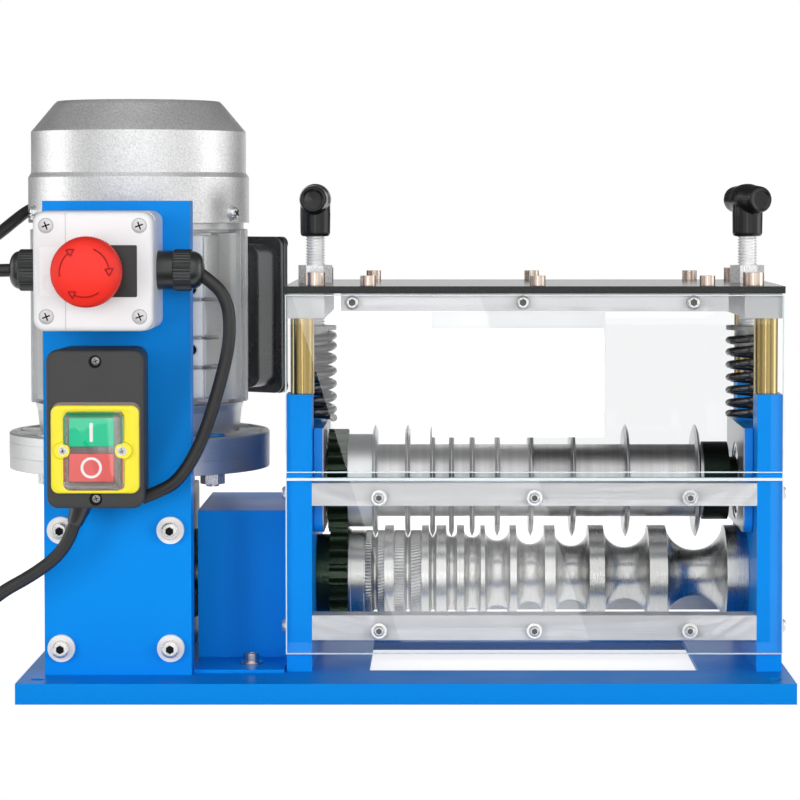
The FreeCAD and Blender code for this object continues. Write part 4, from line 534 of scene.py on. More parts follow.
def gearbox_paint():
    """Silver on the flange that the motor stands on, and near black on the box below it: painted shade, as
    the box shows only in dark gaps.
    """
    f = Finish("gearbox_paint", SILVER, 0.4, metallic=0.75, edge=0.6)
    grain = f.effect("grain", Scale=1500.0, Coarse=0.45)
    below = f.math("LESS_THAN", f.split(f.place())["Z"], GEARBOX_SHADE_TOP * METRE)
    f.tint(grain["Speck"], grey(0.44), 0.3)
    f.tint(f.wear, grey(0.9), 0.35)
    # painted shade: the box below the flange is near black and barely metallic
    f.tint(below, (0.022, 0.023, 0.024))
    f.set("Metallic", f.rescale(below, 0.0, 1.0, 0.75, 0.1))
    f.roughen(grain["Speck"], 0.36, 0.5)
    f.bump(grain["Height"], 0.05)
    return f.done()


def powder_coat(name, colour, roughness, coat, rub):
    """Smooth powder coat with a slight orange peel, rubbed a little on its edges."""
    f = Finish(name, colour, roughness, coat=coat, coat_roughness=0.10, specular=0.06, edge=0.5)
    grain = f.effect("grain", Scale=1300.0, Coarse=0.3)
    smudges = f.effect("smudges", Scale=14.0)
    dust = f.effect("dust", Scale=220.0)
    f.tint(smudges["Patch"], toned(colour, 0.80), 0.08)
    f.tint(f.wear, (0.03, 0.40, 0.95), rub)
    f.tint(dust["Dust"], (0.6, 0.6, 0.58), 0.02)
    f.roughen(smudges["Patch"], roughness - 0.05, roughness + 0.07)
    f.bump(grain["Height"], 0.012)
    return f.done()


def plate_coat():
    """The top plate is crinkle coated on its edges and worn smooth on its flat face."""
    f = Finish("black_plate_coat", (0.008, 0.009, 0.009), 0.3, edge=0.3)
    grain = f.effect("grain", Scale=1150.0, Coarse=0.5)
    up = f.vector("DOT_PRODUCT", f.node("NewGeometry").outputs["Normal"], Z_AXIS)
    side = f.math("LESS_THAN", f.math("ABSOLUTE", up), 0.7)
    sparkle = f.math("POWER", grain["Speck"], 3.0)
    f.tint(sparkle, (0.045, 0.05, 0.047), side)
    f.roughen(side, 0.20, 0.6)
    f.bump(f.math("MULTIPLY", grain["Height"], f.rescale(side, 0.0, 1.0, 0.06, 1.0)), 0.2)
    return f.done()


def cast_silver(name, colour, grain_scale, depth, roughness, metallic, speck):
    """Silver paint over a die-cast skin."""
    f = Finish(name, colour, roughness, metallic=metallic, edge=0.7)
    grain = f.effect("grain", Scale=grain_scale, Coarse=0.45)
    smudges = f.effect("smudges", Scale=20.0)
    f.tint(grain["Speck"], toned(colour, 0.55), speck)
    f.tint(f.wear, toned(colour, 1.3), 0.35)
    f.roughen(smudges["Patch"], roughness - 0.05, roughness + 0.07)
    f.bump(grain["Height"], depth)
    return f.done()


# Bare metals

def brushed_metal(name, colour, scales, low, high, edge=0.35, contrast=0.35, metallic=1.0,
                  depth=0.006):
    """Metal with streaks: low and high are its roughness along them, and scales their fineness."""
    f = Finish(name, colour, low, metallic=metallic, edge=edge)
    streaks = f.effect("brushed", Scales=scales)
    f.tint(streaks["Streak"], toned(colour, 0.72), contrast)
    f.tint(streaks["Band"], toned(colour, 0.82), contrast * 0.5)
    f.tint(f.wear, toned(colour, 1.25), 0.5)
    f.roughen(streaks["Streak"], low, high)
    f.bump(streaks["Streak"], depth)
    return f.done()


def turned_metal(name, colour, centre, low, high, contrast=0.4, scale=2500.0, depth=0.004):
    """Metal turned or ground about an axis along X that runs through the centre."""
    f = Finish(name, colour, low, metallic=1.0, edge=0.25)
    marks = f.effect("turned", Centre=centre, Scale=scale)
    smudges = f.effect("smudges", Scale=45.0)
    f.tint(marks["Ring"], toned(colour, 0.6), contrast)
    f.tint(marks["Band"], toned(colour, 0.7), contrast * 0.7)
    f.tint(f.wear, toned(colour, 1.5), 0.45)
    f.roughen(f.math("MULTIPLY", f.math("ADD", marks["Ring"], smudges["Patch"]), 0.5), low, high)
    f.bump(marks["Ring"], depth)
    return f.done()


def oiled_black_steel():
    """Blackened steel with a green sheen of oil."""
    f = Finish("oiled_black_steel", (0.018, 0.040, 0.018), 0.3, metallic=0.7, coat=0.2,
               coat_roughness=0.12, specular=0.3, edge=0.35)
    grain = f.effect("grain", Scale=900.0, Coarse=0.3)
    smudges = f.effect("smudges", Scale=60.0)
    f.tint(smudges["Patch"], (0.012, 0.018, 0.013), 0.5)
    # paler rubbed edges: partly wear, partly a painted highlight along the edges of the teeth
    f.tint(f.wear, (0.16, 0.20, 0.15), 0.8)
    f.roughen(smudges["Patch"], 0.24, 0.40)
    f.bump(grain["Height"], 0.02)
    return f.done()


BRIGHT_COLLAR_END = -21.75
BLACK_COLLAR_START = 179.4


def sleeve_metal(centre):
    """Grey ground sleeves, a bright collar at the left end and a blackened one at the right."""
    f = Finish("sleeve_steel", (0.70, 0.695, 0.69), 0.4, metallic=1.0, edge=0.3)
    marks = f.effect("turned", Centre=centre, Scale=2600.0)
    f.tint(marks["Band"], (0.32, 0.315, 0.31), 0.3)
    f.tint(marks["Ring"], (0.33, 0.325, 0.32), 0.25)
    f.tint(f.math("LESS_THAN", marks["Along"], BRIGHT_COLLAR_END * METRE), (0.70, 0.71, 0.70))
    f.tint(f.math("GREATER_THAN", marks["Along"], BLACK_COLLAR_START * METRE), (0.012, 0.02, 0.015))
    f.tint(f.wear, (0.6, 0.6, 0.58), 0.4)
    f.roughen(marks["Ring"], 0.34, 0.5)
    f.bump(marks["Ring"], 0.004)
    return f.done()


MILLED_REACH = 125.6


def bearing_block_finish(centre):
    """Blue paint outside, and a milled grey face towards the rollers."""
    f = Finish("bearing_block_finish", BLUE, 0.3, coat=0.08, coat_roughness=0.1, specular=0.16, edge=0.5)
    reach = f.math("ABSOLUTE", f.split(f.vector("SUBTRACT", f.place(), centre))["X"])
    bare = f.math("LESS_THAN", reach, MILLED_REACH * METRE)
    streaks = f.effect("brushed", Scales=(1500.0, 1500.0, 90.0))
    f.tint(bare, (0.50, 0.51, 0.53))
    f.tint(f.math("MULTIPLY", bare, streaks["Streak"]), (0.36, 0.37, 0.39), 0.4)
    f.tint(f.wear, (0.6, 0.62, 0.66), 0.3)
    f.set("Metallic", f.math("MULTIPLY", bare, 0.9))
    f.roughen(bare, 0.3, 0.36)
    return f.done()


# Plastics, rubber, card and glass

def moulded(name, colour, roughness, grain_scale, depth, specular=0.5, edge=0.4, coat=0.0):
    """Moulded plastic with the fine grain of its mould, a little polished by handling."""
    f = Finish(name, colour, roughness, specular=specular, edge=edge, coat=coat)
    grain = f.effect("grain", Scale=grain_scale, Coarse=0.4)
    smudges = f.effect("smudges", Scale=35.0)
    f.tint(smudges["Patch"], toned(colour, 0.78), 0.12)
    f.tint(f.wear, toned(colour, 1.4, 0.02), 0.25)
    f.roughen(smudges["Patch"], roughness - 0.05, roughness + 0.06)
    f.bump(grain["Height"], depth)
    return f.done()


def clear_sheet(name, colour, roughness, bend):
    """Clear plastic that lets lamps and mirrored light pass straight to what stands behind it."""
    f = Finish(name, colour, roughness, edge=0)
    f.set("Transmission Weight", 1.0)
    f.set("IOR", bend)
    material = f.done()
    open_way = f.node("BsdfTransparent")
    paths = f.node("LightPath").outputs
    mix = f.node("MixShader")
    lamp_ray = f.math("MAXIMUM", paths["Is Shadow Ray"], paths["Is Diffuse Ray"])
    # an odd number of passes means that the ray is inside the sheet, where the real bend is kept
    inside = f.math("MODULO", paths["Transmission Depth"], 2.0)
    not_glass = f.math("MAXIMUM", paths["Is Transmission Ray"], inside)
    mirrored = f.math("MULTIPLY", paths["Is Glossy Ray"], f.math("SUBTRACT", 1.0, not_glass))
    f.put(mix.inputs["Fac"], f.math("MAXIMUM", lamp_ray, mirrored))
    f.put(mix.inputs[1], f.shader.outputs[0])
    f.put(mix.inputs[2], open_way.outputs[0])
    f.put(f.tree.nodes["Material Output"].inputs["Surface"], mix.outputs[0])
    return material


def cord_sheath():
    """Smooth black sheath, a little paler and duller in patches where it is handled."""
    f = Finish("cord_sheath", (0.014, 0.014, 0.015), 0.36, edge=0)
    grain = f.effect("grain", Scale=500.0, Coarse=0.2)
    smudges = f.effect("smudges", Scale=60.0)
    f.tint(smudges["Patch"], (0.03, 0.03, 0.031), 0.4)
    f.roughen(smudges["Patch"], 0.3, 0.46)
    f.bump(grain["Height"], 0.03)
    return f.done()


def plain_card():
    """Thin white plastic that glows a little: painted light that brightens the rear card in its shade."""
    f = Finish("plain_card", grey(0.9), 0.35, specular=0.4, edge=0.15)
    # painted light: the card glows, though it is no lamp
    f.set("Emission Color", (1.0, 1.0, 1.0, 1.0))
    f.set("Emission Strength", 0.42)
    grain = f.effect("grain", Scale=2500.0, Coarse=0.2)
    f.tint(grain["Speck"], grey(0.8), 0.05)
    f.bump(grain["Height"], 0.004)
    return f.done()


# Finishes of the pieces and nodes

upper_axis = middle_of("upper_shaft")
lower_axis = middle_of("lower_shaft")
UPPER = Vector((0, upper_axis.y, upper_axis.z)) * METRE
LOWER = Vector((0, lower_axis.y, lower_axis.z)) * METRE
FRAME_MIDDLE = Vector((middle_of("top_plate").x, 0, 0)) * METRE

PAINT = {
    "blue": powder_coat("blue_powder_coat", BLUE, 0.36, 0.02, 0.22),
    "plate": plate_coat(),
    "cast_cowl": cast_silver("hammered_silver", grey(0.90), 1000.0, 0.14, 0.38, 0.85, 0.62),
    "cast_body": cast_silver("silver_die_cast", SILVER, 1500.0, 0.05, 0.38, 0.75, 0.3),
    # a lighter, less metallic copy of the body silver for the rails' front faces: painted light
    "lit_rail": cast_silver("machined_foot_rail", (0.86, 0.865, 0.87), 1500.0, 0.03, 0.45, 0.2, 0.2),
    "gearbox": gearbox_paint(),
    "block": bearing_block_finish(FRAME_MIDDLE),
    "fastener": fastener_finish(),

    "bar": brushed_metal("brushed_aluminium", (0.75, 0.75, 0.76), (18.0, 3000.0, 3000.0), 0.40, 0.56,
                         contrast=0.5, metallic=0.5),
    "end_block": brushed_metal("milled_aluminium", (0.62, 0.625, 0.635), (1200.0, 60.0, 1200.0),
                               0.42, 0.55, contrast=0.2, metallic=0.5),
    "brass": brushed_metal("drawn_brass", (0.50, 0.37, 0.15), (3000.0, 3000.0, 12.0), 0.13, 0.20,
                           contrast=0.1, depth=0.0006),
    "bronze": brushed_metal("wheel_bronze", (0.50, 0.33, 0.14), (1500.0, 1500.0, 300.0), 0.3, 0.5),
    "champagne": brushed_metal("champagne_zinc", (0.84, 0.70, 0.60), (3500.0, 3500.0, 60.0), 0.18, 0.26,
                               contrast=0.1, depth=0.001),
    "nickel": brushed_metal("bright_zinc", grey(0.80), (3000.0, 3000.0, 300.0), 0.22, 0.34,
                            contrast=0.15, metallic=0.85, depth=0.002),
    "seat": brushed_metal("seat_steel", grey(0.42), (1500.0, 1500.0, 200.0), 0.38, 0.5),
    "thread": brushed_metal("thread_zinc", grey(0.90), grey(1800.0), 0.3, 0.42, edge=0.1,
                            contrast=0.15, metallic=0.55),
    "screw": brushed_metal("bright_screw_steel", (0.80, 0.795, 0.78), grey(1800.0), 0.2, 0.36,
                           edge=0.2, metallic=0.75),
    "flush_screw": brushed_metal("zinc_screw_face", grey(0.74), grey(900.0), 0.3, 0.5, edge=0.15,
                                 contrast=0.9, metallic=0.6),
    # dark grey floors for the screw sockets: painted shade
    "socket_floor": brushed_metal("socket_floor", grey(0.16), grey(1200.0), 0.4, 0.6, edge=0),
    "laminated": brushed_metal("laminated_core", (0.30, 0.30, 0.31), (40.0, 40.0, 2500.0), 0.4, 0.6),

    "roller": turned_metal("turned_roller_steel", (0.66, 0.66, 0.645), LOWER, 0.22, 0.34,
                           contrast=0.3, depth=0.014),
    "knurl": turned_metal("knurled_steel", (0.46, 0.46, 0.455), LOWER, 0.24, 0.38, contrast=0.2),
    "blade": turned_metal("ground_blade_steel", (0.62, 0.62, 0.615), UPPER, 0.22, 0.36,
                          contrast=0.3, scale=3500.0),
    "shaft": turned_metal("ground_shaft_steel", grey(0.5), UPPER, 0.2, 0.35),
    "ring": turned_metal("bearing_ring_steel", (0.62, 0.62, 0.63), UPPER, 0.12, 0.26),
    "low_ring": turned_metal("low_bearing_ring_steel", (0.62, 0.62, 0.63), LOWER, 0.12, 0.26),
    "sleeve": sleeve_metal(UPPER),
    "gear": oiled_black_steel(),

    "spring": moulded("spring_black", grey(0.012), 0.22, 900.0, 0.02, specular=0.9, edge=0, coat=0.9),
    "knob": moulded("knob_black", grey(0.006), 0.22, 1500.0, 0.006, specular=0.4, edge=0, coat=0.1),
    "box_black": moulded("switch_box_black", (0.032, 0.032, 0.033), 0.52, 1100.0, 0.14),
    "lid_black": moulded("terminal_black", (0.036, 0.039, 0.042), 0.28, 1500.0, 0.003, specular=0.8,
                         coat=0.3),
    "fan_black": moulded("fan_black", grey(0.02), 0.5, 900.0, 0.03),
    "gland_black": moulded("gland_black", (0.010, 0.011, 0.011), 0.28, 1500.0, 0.012, specular=0.8,
                           edge=0.3),
    "legend_black": moulded("legend_black", grey(0.016), 0.4, 2000.0, 0.006, edge=0),
    # near black for holes, wells and recesses: painted shade
    "deep_hole": moulded("deep_hole", grey(0.006), 0.8, 900.0, 0.01, specular=0.1, edge=0),
    "gasket": moulded("cover_gasket", (0.16, 0.13, 0.12), 0.5, 1500.0, 0.006, edge=0),
    # grey for the stop lid's screw recesses and a line down the lid: painted shade
    "shade_grey": moulded("recess_grey", (0.42, 0.42, 0.43), 0.5, 1500.0, 0.01, edge=0),
    "box_white": moulded("stop_box_white", (0.82, 0.82, 0.83), 0.34, 1500.0, 0.012, edge=0.3),
    "nylon": moulded("washer_nylon", (0.82, 0.83, 0.85), 0.4, 900.0, 0.02),
    "mark_white": moulded("mark_white", (0.84, 0.78, 0.77), 0.4, 1500.0, 0.004, edge=0),
    "label_white": moulded("label_white", (0.86, 0.86, 0.87), 0.3, 2000.0, 0.004, edge=0),
    "red": moulded("stop_red", (0.90, 0.024, 0.012), 0.5, 1500.0, 0.006, specular=0.3, edge=0.3),
    "arrow_red": moulded("arrow_red", (0.36, 0.005, 0.004), 0.5, 1500.0, 0.006, specular=0.3, edge=0),
    "yellow": moulded("frame_yellow", (0.90, 0.78, 0.02), 0.40, 1500.0, 0.006, edge=0.3),
    "green_key": moulded("key_green", (0.001, 0.54, 0.27), 0.4, 1500.0, 0.006, specular=0.15, edge=0.25),
    "red_key": moulded("key_red", (0.78, 0.13, 0.12), 0.4, 1500.0, 0.006, specular=0.2, edge=0.25),
    # pale opaque rims of the guards: painted highlight
    "rim_highlight": moulded("sawn_acrylic_edge", (0.72, 0.84, 0.90), 0.35, 1500.0, 0.01, edge=0),
    "sheath": cord_sheath(),
    "card": plain_card(),
    "acrylic": clear_sheet("clear_acrylic", (0.99, 0.997, 1.0), 0.0, 1.36),
    "film": clear_sheet("clear_cover_film", (0.95, 0.96, 0.96), 0.02, 1.3),
}

NODE_FINISH = {
    "blue": ["base_plate", "tower_panel", "shaft_cover", "left_upright", "right_upright"],
    "plate": ["top_plate"],
    "cast_cowl": ["fan_cover"],
    "cast_body": ["motor_housing", "motor_flange"],
    "gearbox": ["gearbox_housing"],
    "bar": ["guard_bars"],
    "end_block": ["end_blocks"],
    "brass": ["guide_posts"],
    "roller": ["feed_roller", "lower_shaft"],
    "blade": ["cutting_blades"],
    "shaft": ["upper_shaft"],
    "ring": ["upper_bearings"],
    "low_ring": ["lower_bearings"],
    "sleeve": ["spacer_sleeves"],
    "block": ["bearing_blocks"],
    "gear": ["lower_gear", "upper_gear"],
    "bronze": ["worm_wheel"],
    "champagne": ["cap_screws"],
    "nickel": ["motor_rotor", "e_stop_stem"],
    "fastener": ["hex_fasteners"],
    "seat": ["left_seat", "right_seat"],
    "laminated": ["stator"],
    "lid_black": ["terminal_box", "terminal_box_lid"],
    "fan_black": ["cooling_fan"],
    "nylon": ["panel_spacers"],
    "box_white": ["e_stop_box"],
    "card": ["sign_cards"],
    "acrylic": ["front_upper_guard", "front_lower_guard", "rear_upper_guard"],
}


def finish_nodes():
    for finish, nodes in NODE_FINISH.items():
        for node in nodes:
            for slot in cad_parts[node].material_slots:
                slot.material = PAINT[finish]


# Making pieces

def piece(name, bm, body, finish, replaces=(), smooth=35):
    """A mesh in millimetres becomes a piece in metres that rides on its body."""
    bmesh.ops.recalc_face_normals(bm, faces=bm.faces)
    bm.transform(Matrix.Scale(METRE, 4))
    mesh = bpy.data.meshes.new(name)
    bm.to_mesh(mesh)
    bm.free()
    mesh.materials.append(PAINT[finish])
    mesh.shade_smooth()
    mesh.set_sharp_from_angle(angle=math.radians(smooth))
    thing = bpy.data.objects.new(name, mesh)
    bpy.context.collection.objects.link(thing)
    if body:
        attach(thing, body)
    if replaces:
        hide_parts(*replaces)
    return thing


def join_rings(bm, rings):
    """Faces between each ring of corners and the next. A ring may be one corner, given many times."""
    for lower, upper in zip(rings, rings[1:]):
        for step in range(len(lower)):
            after = (step + 1) % len(lower)
            corners = list(dict.fromkeys([lower[step], lower[after], upper[after], upper[step]]))
            if len(corners) > 2:
                bm.faces.new(corners)


def around_circle(steps):
    return [2 * math.pi * step / steps for step in range(steps)]


def axis_frame(axis, at):
    """The matrix that stands a shape made along Z on the given axis, at the given place."""
    turn = Z_AXIS.rotation_difference(Vector(axis).normalized()).to_matrix().to_4x4()
    return Matrix.Translation(Vector(at)) @ turn


def lathe(bm, profile, at=(0, 0, 0), axis=Z_AXIS, around=64, wave=None):
    """Turn a profile of (radius, height) about an axis. wave(angle, row) scales the radius."""
    matrix = axis_frame(axis, at)
    rings = []
    for row, (radius, height) in enumerate(profile):
        if radius < 1e-6:
            rings.append([bm.verts.new(matrix @ Vector((0, 0, height)))] * around)
            continue
        ring = []
        for angle in around_circle(around):
            reach = radius * (wave(angle, row) if wave else 1.0)
            place = Vector((reach * math.cos(angle), reach * math.sin(angle), height))
            ring.append(bm.verts.new(matrix @ place))
        rings.append(ring)
    join_rings(bm, rings)
    return rings


def rounded_block(bm, low, high, corner, edge, depth_axis="Y", both=False, matrix=None):
    """A block whose outline has round corners and whose front rim is softened.

    The outline's corners run along depth_axis, and the rim at its low end gets the edge radius.
    With both, the rim at the high end gets it too.
    """
    low, high = Vector(low), Vector(high)
    deep = "XYZ".index(depth_axis)
    wide, tall = [i for i in range(3) if i != deep]
    steps = 5
    angles = [math.radians(90 * i / steps) for i in range(steps + 1)]
    depths = [low[deep] + edge * (1 - math.cos(angle)) for angle in angles]
    insets = [edge * (1 - math.sin(angle)) for angle in angles]
    if both:
        depths += [high[deep] - (depth - low[deep]) for depth in reversed(depths)]
        insets += list(reversed(insets))
    else:
        depths.append(high[deep])
        insets.append(0)
    layers = []
    for depth, inset in zip(depths, insets):
        ring = []
        for point in rounded_outline(low[wide] + inset, low[tall] + inset, high[wide] - inset,
                                     high[tall] - inset, max(corner - inset, 0.05)):
            place = Vector((0, 0, 0))
            place[wide], place[tall], place[deep] = point[0], point[1], depth
            ring.append(bm.verts.new(matrix @ place if matrix else place))
        layers.append(ring)
    join_rings(bm, layers)
    bm.faces.new(layers[0])
    bm.faces.new(layers[-1])
    return layers


def rounded_outline(left, bottom, right, top, radius):
    """Points round a rectangle with round corners."""
    steps = 6
    points = []
    for cx, cy, start in ((right - radius, top - radius, 0), (left + radius, top - radius, 90),
                          (left + radius, bottom + radius, 180), (right - radius, bottom + radius, 270)):
        for step in range(steps + 1):
            angle = math.radians(start + 90 * step / steps)
            points.append((cx + radius * math.cos(angle), cy + radius * math.sin(angle)))
    return points


def tube(bm, line, radius, around=14):
    """A round tube along a dense line of points, closed at both ends."""
    points = [Vector(place) for place in line]
    side = (points[1] - points[0]).normalized().orthogonal().normalized()
    rings = []
    for index, point in enumerate(points):
        ahead = points[min(index + 1, len(points) - 1)] - points[max(index - 1, 0)]
        ahead.normalize()
        side = (side - ahead * side.dot(ahead)).normalized()
        up = ahead.cross(side)
        rings.append([bm.verts.new(point + side * radius * math.cos(angle) + up * radius * math.sin(angle))
                      for angle in around_circle(around)])
    join_rings(bm, rings)
    bm.faces.new(rings[0])
    bm.faces.new(rings[-1])


# Cords

CORD_RADIUS = 3.75
LINK_ROUTE = [
    (-121, -95, 250), (-109.1, -95, 241.7), (-103.6, -95, 233.9), (-101.1, -95, 223.7),
    (-101.4, -95, 208), (-105, -95, 191.5), (-110.3, -95, 173), (-115.8, -94.8, 156),
    (-122.3, -94.5, 142), (-129.5, -94.2, 131.2), (-137.3, -94, 124.2), (-152, -94, 118.7),
]
MOTOR_ROUTE = [
    (-222, -95, 250), (-240, -94.6, 249.6), (-256, -90.5, 249), (-267.5, -80, 249), (-273, -63, 250),
    (-272, -43, 252.5), (-266.5, -20, 257), (-259.5, 3, 262.5), (-252.5, 25, 269.4), (-246, 47, 277.4),
    (-240.3, 69, 284.2), (-238.5, 90, 284.5), (-236, 112, 275.5), (-229, 135, 257), (-216, 152, 238),
    (-201, 159.8, 224), (-186.93, 155.48, 216), (-175.06, 148.06, 216),
]
MAINS_ROUTE = [
    (-191.19, -92, 103.34), (-194.44, -92, 94.41), (-199.8, -92, 86.5), (-207.4, -91.7, 79.6),
    (-219.5, -91.2, 71.6), (-233, -90.5, 64.3), (-246.5, -89.5, 53), (-258.5, -88.6, 38.5), (-270, -88, 22),
    (-282.5, -88, 8.8), (-297, -88, 3.75), (-308, -88, 3.75),
]
COIL_CENTRE = Vector((-308, -40, 0))
COIL_OUTER = 48
COIL_STEP = 8.4
TURN_STEPS = 8
# how many steps in from the outer turn each half turn of the upper layer lies
WAY_OUT = (2.25, 1.5, 1, 0.5)
PLUG_HALF_HEIGHT = 9
PLUG_HALF_WIDTH = 12


def half_turn(start, side, radius, rise=0.0, share=1.0):
    """Control points of a half circle, a little outside it so that the smooth line lies on it."""
    pull = radius / math.cos(math.pi / (2 * TURN_STEPS))
    centre_y = start.y - side * radius
    points = []
    for step in range(int(TURN_STEPS * share)):
        part = (step + 0.5) / TURN_STEPS
        angle = math.pi * part
        climb = rise * part * part * (3 - 2 * part)
        points.append(Vector((start.x + side * pull * math.sin(angle),
                              centre_y + side * pull * math.cos(angle), start.z + climb)))
    return points, Vector((start.x, start.y - 2 * side * radius, start.z + rise))


def coil_points():
    """The put-away length: loops that spiral in on the floor, climb, and spiral out on top."""
    place = Vector(MAINS_ROUTE[-1])
    side = -1
    points = []
    for number in range(5):
        more, place = half_turn(place, side, COIL_OUTER - COIL_STEP / 2 * number)
        points += more
        side = -side
    more, place = half_turn(place, side, COIL_OUTER - COIL_STEP * 2.5, rise=COIL_STEP)
    points += more
    side = -side
    for steps_in in WAY_OUT:
        more, place = half_turn(place, side, COIL_OUTER - COIL_STEP * steps_in)
        points += more
        side = -side
    more, _ = half_turn(place, side, COIL_OUTER, share=0.5)
    points += more
    left = Vector((place.x + side * COIL_OUTER, place.y - side * COIL_OUTER, place.z))
    return points + [left + Vector((0, 30, 0)), Vector((left.x + 0.6, left.y + 55, 6)),
                     Vector((left.x, left.y + 78, PLUG_HALF_HEIGHT)),
                     Vector((left.x, left.y + 96, PLUG_HALF_HEIGHT))]


def cord_piece(name, points, nodes):
    """One smooth spline whose control points are the cord's route."""
    data = bpy.data.curves.new(name, "CURVE")
    data.dimensions = "3D"
    data.bevel_depth = CORD_RADIUS * METRE
    data.bevel_resolution = 6
    data.resolution_u = 10
    data.use_fill_caps = True
    spline = data.splines.new("NURBS")
    spline.points.add(len(points) - 1)
    for control, place in zip(spline.points, points):
        control.co = (*(Vector(place) * METRE), 1.0)
    spline.order_u = 3
    spline.use_endpoint_u = True
    thing = bpy.data.objects.new(name, data)
    bpy.context.collection.objects.link(thing)
    data.materials.append(PAINT["sheath"])
    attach(thing, "frame")
    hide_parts(*nodes)
    return thing


def add_cords():
    link = cord_piece("link_lead", LINK_ROUTE, ["link_cord"])
    lead = cord_piece("motor_feed_lead", MOTOR_ROUTE, ["motor_lead"])
    coil = coil_points()
    mains = cord_piece("mains_lead", MAINS_ROUTE + coil, ["mains_cord", "mains_coil"])
    plug = make_plug(coil[-1])
    ties = [make_tie(number, angle, coil) for number, angle in enumerate((200, 20), start=1)]


def make_plug(end):
    """A moulded two pin plug with finger ribs and a tapered boot."""
    x, y, z = end
    bm = bmesh.new()
    boot = [(0, 0), (5.2, 0), (5.4, 2), (4.9, 3), (5.8, 4.5), (5.3, 6), (6.3, 8), (5.9, 9.4), (7, 11.5),
            (8, 15), (0, 15)]
    lathe(bm, boot, end, Y_AXIS, 32)
    rounded_block(bm, (x - PLUG_HALF_WIDTH, y + 14, z - PLUG_HALF_HEIGHT),
                  (x + PLUG_HALF_WIDTH, y + 44, z + PLUG_HALF_HEIGHT), 4, 3, both=True)
    for rib in range(4):
        at = y + 20 + 5 * rib
        for side in (-1, 1):
            middle = x + side * (PLUG_HALF_WIDTH - 0.6)
            rounded_block(bm, (middle - 0.6, at, z - 5.5), (middle + 0.6, at + 2, z + 5.5), 0.5, 0.3,
                          both=True)
    plug = piece("plug_grip", bm, "frame", "lid_black", ["mains_plug"])
    bm = bmesh.new()
    for middle in (x - 6.35, x + 6.35):
        rounded_block(bm, (middle - 0.8, y + 43, z - 3.1), (middle + 0.8, y + 61, z + 3.1), 0.3, 0.3,
                      both=True)
    piece("plug_pins", bm, "frame", "brass")
    return plug


STRAP_THICK = 0.9
STRAP_HALF_WIDTH = 3.0


def make_tie(number, degrees, coil):
    """A flat strap drawn tight round every turn that crosses one line out from the coil's middle."""
    angle = math.radians(degrees)
    way = Vector((math.cos(angle), math.sin(angle), 0))
    across = Vector((-math.sin(angle), math.cos(angle), 0))
    reach = []
    for first, second in zip(coil, coil[1:]):
        before, after = (first - COIL_CENTRE).dot(across), (second - COIL_CENTRE).dot(across)
        if before * after <= 0 and before != after:
            crossing = first.lerp(second, before / (before - after)) - COIL_CENTRE
            if crossing.dot(way) > 0:
                reach.append(crossing.dot(way))
    near, far = min(reach) - CORD_RADIUS - 0.1, max(reach) + CORD_RADIUS + 0.1
    high = 2 * CORD_RADIUS + COIL_STEP + 0.1
    inner = rounded_outline(near, STRAP_THICK, far, high, 3)
    outer = rounded_outline(near - STRAP_THICK, 0.02, far + STRAP_THICK, high + STRAP_THICK, 3.9)
    bm = bmesh.new()
    rings = []
    for outline, side in ((inner, -1), (outer, -1), (outer, 1), (inner, 1)):
        rings.append([bm.verts.new(COIL_CENTRE + way * r + Z_AXIS * z + across * side * STRAP_HALF_WIDTH)
                      for r, z in outline])
    join_rings(bm, rings + rings[:1])
    return piece("coil_tie_%d" % number, bm, "frame", "sheath")


# Springs, threads and knobs

def axis_of(node):
    """The x and y of an upright node's axis, and the heights of its two ends."""
    low, high = box_of(node)
    return (low.x + high.x) / 2, (low.y + high.y) / 2, low.z, high.z


SPRING_RADIUS = 10.9
SPRING_WIRE = 2.4
SPRING_STEPS = 40
CLOSED_PITCH = 5.4
OPEN_TURNS = 5.25


def spring_line(x, y, bottom, top, start, end):
    """Points of the helix between two shares of its angle: closed end turns and open ones between."""
    first = bottom + SPRING_WIRE
    pitch = (top - SPRING_WIRE - first - 2 * CLOSED_PITCH) / OPEN_TURNS
    count = int((OPEN_TURNS + 2) * SPRING_STEPS)
    points = []
    for index in range(int(start * count), int(end * count) + 1):
        turn = index / SPRING_STEPS
        open_part = min(max(turn - 1, 0), OPEN_TURNS)
        z = first + CLOSED_PITCH * (turn - open_part) + pitch * open_part
        angle = 2 * math.pi * turn
        points.append((x + SPRING_RADIUS * math.cos(angle), y + SPRING_RADIUS * math.sin(angle), z))
    return points


def add_springs():
    """Each spring is two halves: the carriage presses the lower one, and the screw's seat the upper."""
    for side in ("left", "right"):
        node = side + "_spring"
        x, y, bottom, top = axis_of(node)
        bm = bmesh.new()
        tube(bm, spring_line(x, y, bottom, top, 0.0, 0.505), SPRING_WIRE)
        lower = piece(node + "_lower_half", bm, "carriage", "spring", [node])
        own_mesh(lower)
        bm = bmesh.new()
        tube(bm, spring_line(x, y, bottom, top, 0.495, 1.0), SPRING_WIRE)
        upper = piece(node + "_upper_half", bm, None, "spring", [node])
        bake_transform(upper)


THREAD_PITCH = 1.75
THREAD_DEPTH = 0.95
# one turn of the thread: share of the pitch along it, and 0 at the root or 1 at the crest
THREAD_SHAPE = [(0.0, 0), (0.10, 1), (0.30, 1), (0.62, 0), (0.78, 0)]


